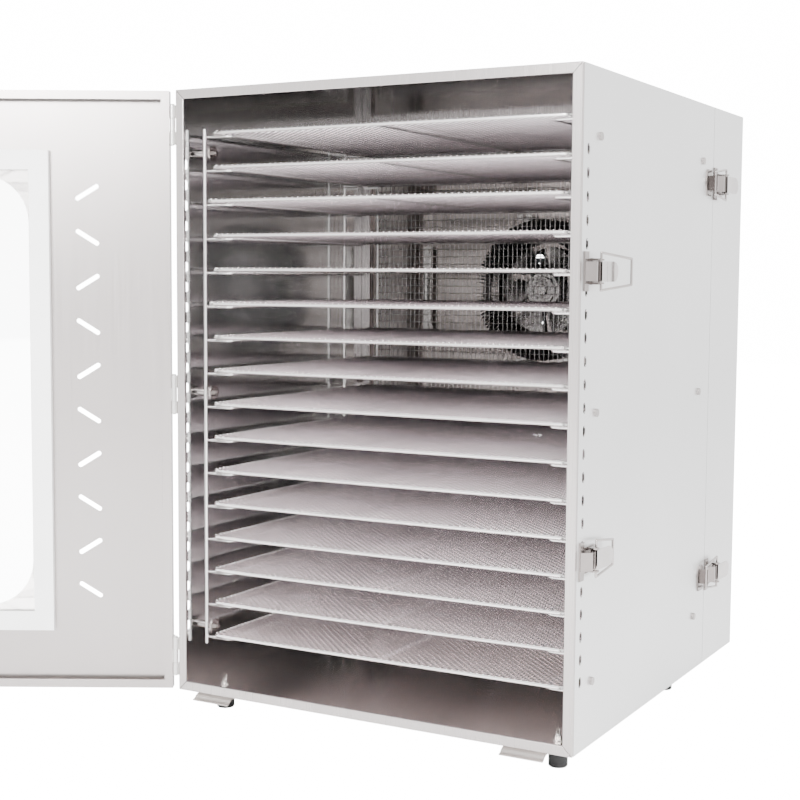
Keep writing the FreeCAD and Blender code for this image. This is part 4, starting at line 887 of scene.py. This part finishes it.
@dataclass
class Fittings:
    """Racks, latches, feet, controls and inlet."""

    foot_radius: float = 0.00975
    foot_recess: float = 0.010
    foot_bore: float = 0.0027
    foot_socket: float = 0.0054
    foot_segments: int = 32
    knob_height: float = 0.015
    knob_segments: int = 96
    flutes: int = 24
    flute_depth: float = 0.02
    flute_start: float = 0.0025
    stem_radius: float = 0.003
    stem_segments: int = 20
    grip_half_width: float = 0.0045
    grip_half_length: float = 0.0155
    grip_foot: float = 0.005
    grip_edge: float = 0.0012
    line_half_width: float = 0.0006
    line_ends: tuple = (-0.0150, -0.004)
    line_depth: float = 0.0004

    def feet(self) -> None:
        """Four turned feet with rounded rims and a recess for the bolt."""
        low, high = corners("rubber_feet")
        r = self.foot_radius
        top = high[2] - low[2]
        bore, socket, recess = self.foot_bore, self.foot_socket, self.foot_recess
        profile = ((socket, 0), (0.0088, 0), (0.0097, 0.0012), (r, top - 0.002), (0.0091, top),
                   (bore, top), (bore, recess), (socket, recess), (socket, 0))
        centres = np.array([(x, y, low[2]) for x in (low[0] + r, high[0] - r)
                            for y in (low[1] + r, high[1] - r)])
        feet = lathe(profile, centres, Z_AXIS, self.foot_segments)
        add_piece("turned_feet", feet, RUBBER, "cabinet", ["rubber_feet"])

    def knob(self, node: str) -> None:
        """Fluted knob with a raised grip that carries a white line.

        The radius is r (1 - depth (1 + cos(flutes * angle))) above the skirt, and r on it.

        Args:
            node: the CAD knob to follow.
        """
        low, high = corners(node)
        centre = np.array(((low[0] + high[0]) / 2, (low[1] + high[1]) / 2, 0.0))
        top = high[2]
        base = top - self.knob_height
        rows = np.array([(0, 0), (0.020, 0), (0.020, 0.0018), (0.0188, 0.0026), (0.0168, 0.003),
                         (0.0162, 0.0075), (0.0148, 0.0086), (0, 0.0088)])
        angle = np.arange(self.knob_segments) * 2 * np.pi / self.knob_segments
        fluted = (rows[:, 1] > self.flute_start)[:, None]
        radius = rows[:, :1] * (1 - self.flute_depth * (1 + np.cos(self.flutes * angle)) * fluted)
        points = np.stack(np.broadcast_arrays(radius * np.cos(angle), radius * np.sin(angle),
                                              rows[:, 1:]), axis=2)
        faces = grid_faces(len(rows), self.knob_segments, False, True).tolist()
        body = Surface(points.reshape(-1, 3) + centre + Z_AXIS * base, faces)
        r = self.stem_radius
        stem = lathe([(0, low[2]), (r, low[2]), (r, base), (0, base)], centre, Z_AXIS,
                     self.stem_segments)
        add_piece(node + "_body", body.joined(stem), PLASTIC, node, [node])
        x, y = self.grip_half_width, self.grip_half_length
        grip = blocks(centre + (-x, -y, base + self.grip_foot), centre + (x, y, top))
        add_piece(node + "_grip", grip, PLASTIC, node, (), False, self.grip_edge)
        x, (near, far) = self.line_half_width, self.line_ends
        line = blocks(centre + (-x, near, top - self.line_depth), centre + (x, far, top))
        add_piece(node + "_line", line, MARK, node, (), False)

    def build(self) -> None:
        """Make feet and knobs and dress the rest."""
        self.feet()
        self.knob("timer_knob")
        self.knob("thermostat_knob")
        for node in ("rack_left", "rack_right"):
            dress(node, WIRE)
        # The rack screws take the darker fastener copy: painted shade on their heads.
        dress("rack_screws", SHADED_RACK_SCREW)
        dress("foot_bolts", BRIGHT)
        # Latch bases, levers and bails take the darkened latch steel: painted shade.
        dress("latch_bases", SHADED_LATCH_BASE)
        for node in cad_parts:
            if node.startswith(("front_lever", "rear_levers")):
                dress(node, SHADED_LATCH_LEVER)
            if node.startswith(("front_bail", "rear_bails")):
                dress(node, SHADED_LATCH_WIRE)
        for node in ("control_box", "switch_bezel", "switch_rocker", "power_inlet"):
            dress(node, PLASTIC)


@dataclass
class Studio:
    """Camera, pale floor and soft light."""

    camera_offset: tuple = (0.7443, -1.2642, 0.4511)
    yaw: float = 29.0007
    pitch: float = -4.7229
    roll: float = 0.3688
    lens: float = 65.92
    sensor_width: float = 36.0
    floor_size: float = 14.0
    world_strength: float = 2.6
    dim_share: float = 0.5
    dim_from: float = 0.80
    dim_to: float = 0.98
    backdrop_strength: float = 16.0
    dark_side: tuple = (0.1, -0.98, 0.1)
    light_aim: tuple = (0.2, 0.1, 0.3)

    def camera(self) -> None:
        """Stand the camera in front, to the right and above the middle, looking slightly down."""
        low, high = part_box("front_frame")
        foot = Vector(((low[0] + high[0]) / 2, low[1], low[2]))
        yaw, pitch, roll = (math.radians(a) for a in (self.yaw, self.pitch, self.roll))
        flat = math.cos(pitch)
        ahead = Vector((-math.sin(yaw) * flat, math.cos(yaw) * flat, math.sin(pitch)))
        level = Vector((math.cos(yaw), math.sin(yaw), 0))
        up = level.cross(ahead)
        right = level * math.cos(roll) + up * math.sin(roll)
        top = -level * math.sin(roll) + up * math.cos(roll)
        place = foot + Vector(self.camera_offset)
        data = bpy.data.cameras.new("camera")
        data.lens = self.lens
        data.sensor_width = self.sensor_width
        camera = bpy.data.objects.new("camera", data)
        bpy.context.scene.collection.objects.link(camera)
        basis = Matrix((right, top, -ahead)).transposed().to_4x4()
        camera.matrix_world = Matrix.Translation(place) @ basis
        bpy.context.scene.camera = camera

    def panel(self, name: str, place: tuple, size: float, power: float) -> None:
        """One square soft light.

        Args:
            name: its name.
            place: where it hangs, in metres.
            size: side length.
            power: watts.
        """
        data = bpy.data.lights.new(name, "AREA")
        data.shape = "SQUARE"
        data.size = size
        data.energy = power
        light = bpy.data.objects.new(name, data)
        bpy.context.scene.collection.objects.link(light)
        light.location = place
        light.rotation_mode = "QUATERNION"
        towards = Vector(self.light_aim) - Vector(place)
        light.rotation_quaternion = towards.to_track_quat("-Z", "Y")

    def build(self) -> None:
        """Make the floor, the pale surroundings and the lights."""
        self.camera()
        half = self.floor_size / 2
        mesh = bpy.data.meshes.new("studio_floor")
        square = [(-half, -half, 0), (half, -half, 0), (half, half, 0), (-half, half, 0)]
        mesh.from_pydata(square, [], [(0, 1, 2, 3)])
        floor = bpy.data.objects.new("studio_floor", mesh)
        bpy.context.scene.collection.objects.link(floor)
        sheet = PAPER.material()
        mesh.materials.append(sheet)
        shader = sheet.node_tree.nodes["Principled BSDF"]
        shader.inputs["Emission Color"].default_value = (1, 1, 1, 1)
        sheet.node_tree.links.new(self.seen(sheet.node_tree), shader.inputs["Emission Strength"])
        self.surroundings()
        self.panel("key", (2.4, -1.2, 2.2), 1.8, 70)
        self.panel("front", (0.3, -2.6, 1.5), 1.0, 170)

    def seen(self, tree: bpy.types.NodeTree) -> bpy.types.NodeSocket:
        """The backdrop's strength where it is looked at, straight or through glass.

        Args:
            tree: the nodes of the floor or of the surroundings.

        Returns:
            The strength, which is nought for every other ray.
        """
        path = tree.nodes.new("ShaderNodeLightPath")
        either = tree.nodes.new("ShaderNodeMath")
        either.operation = "MAXIMUM"
        tree.links.new(path.outputs["Is Camera Ray"], either.inputs[0])
        tree.links.new(path.outputs["Is Transmission Ray"], either.inputs[1])
        scaled = tree.nodes.new("ShaderNodeMath")
        scaled.operation = "MULTIPLY"
        scaled.inputs[1].default_value = self.backdrop_strength
        tree.links.new(either.outputs["Value"], scaled.inputs[0])
        return scaled.outputs["Value"]

    def surroundings(self) -> None:
        """White surroundings, dimmer in front of the object, and plain white where looked at."""
        world = bpy.data.worlds.new("studio")
        bpy.context.scene.world = world
        world.use_nodes = True
        tree = world.node_tree
        coords = tree.nodes.new("ShaderNodeTexCoord")
        facing = tree.nodes.new("ShaderNodeVectorMath")
        facing.operation = "DOT_PRODUCT"
        facing.inputs[1].default_value = self.dark_side
        tree.links.new(coords.outputs["Generated"], facing.inputs[0])
        dimming = tree.nodes.new("ShaderNodeMapRange")
        dimming.interpolation_type = "SMOOTHSTEP"
        dimming.inputs["From Min"].default_value = self.dim_from
        dimming.inputs["From Max"].default_value = self.dim_to
        dimming.inputs["To Min"].default_value = self.world_strength
        dimming.inputs["To Max"].default_value = self.world_strength * self.dim_share
        tree.links.new(facing.outputs["Value"], dimming.inputs["Value"])
        total = tree.nodes.new("ShaderNodeMath")
        total.operation = "MAXIMUM"
        tree.links.new(dimming.outputs["Result"], total.inputs[0])
        tree.links.new(self.seen(tree), total.inputs[1])
        background = tree.nodes["Background"]
        background.inputs["Color"].default_value = (1, 1, 1, 1)
        tree.links.new(total.outputs["Value"], background.inputs["Strength"])


def main() -> None:
    """Build every sub-assembly in order."""
    logging.basicConfig(level=logging.INFO, format="%(name)s: %(message)s")
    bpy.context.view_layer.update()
    for part in (Casing(), Trays(), Guard(), RearModule(), Door(), Fittings(), Studio()):
        part.build()
        LOG.info("built %s", type(part).__name__)


if __name__ == "__main__":
    main()
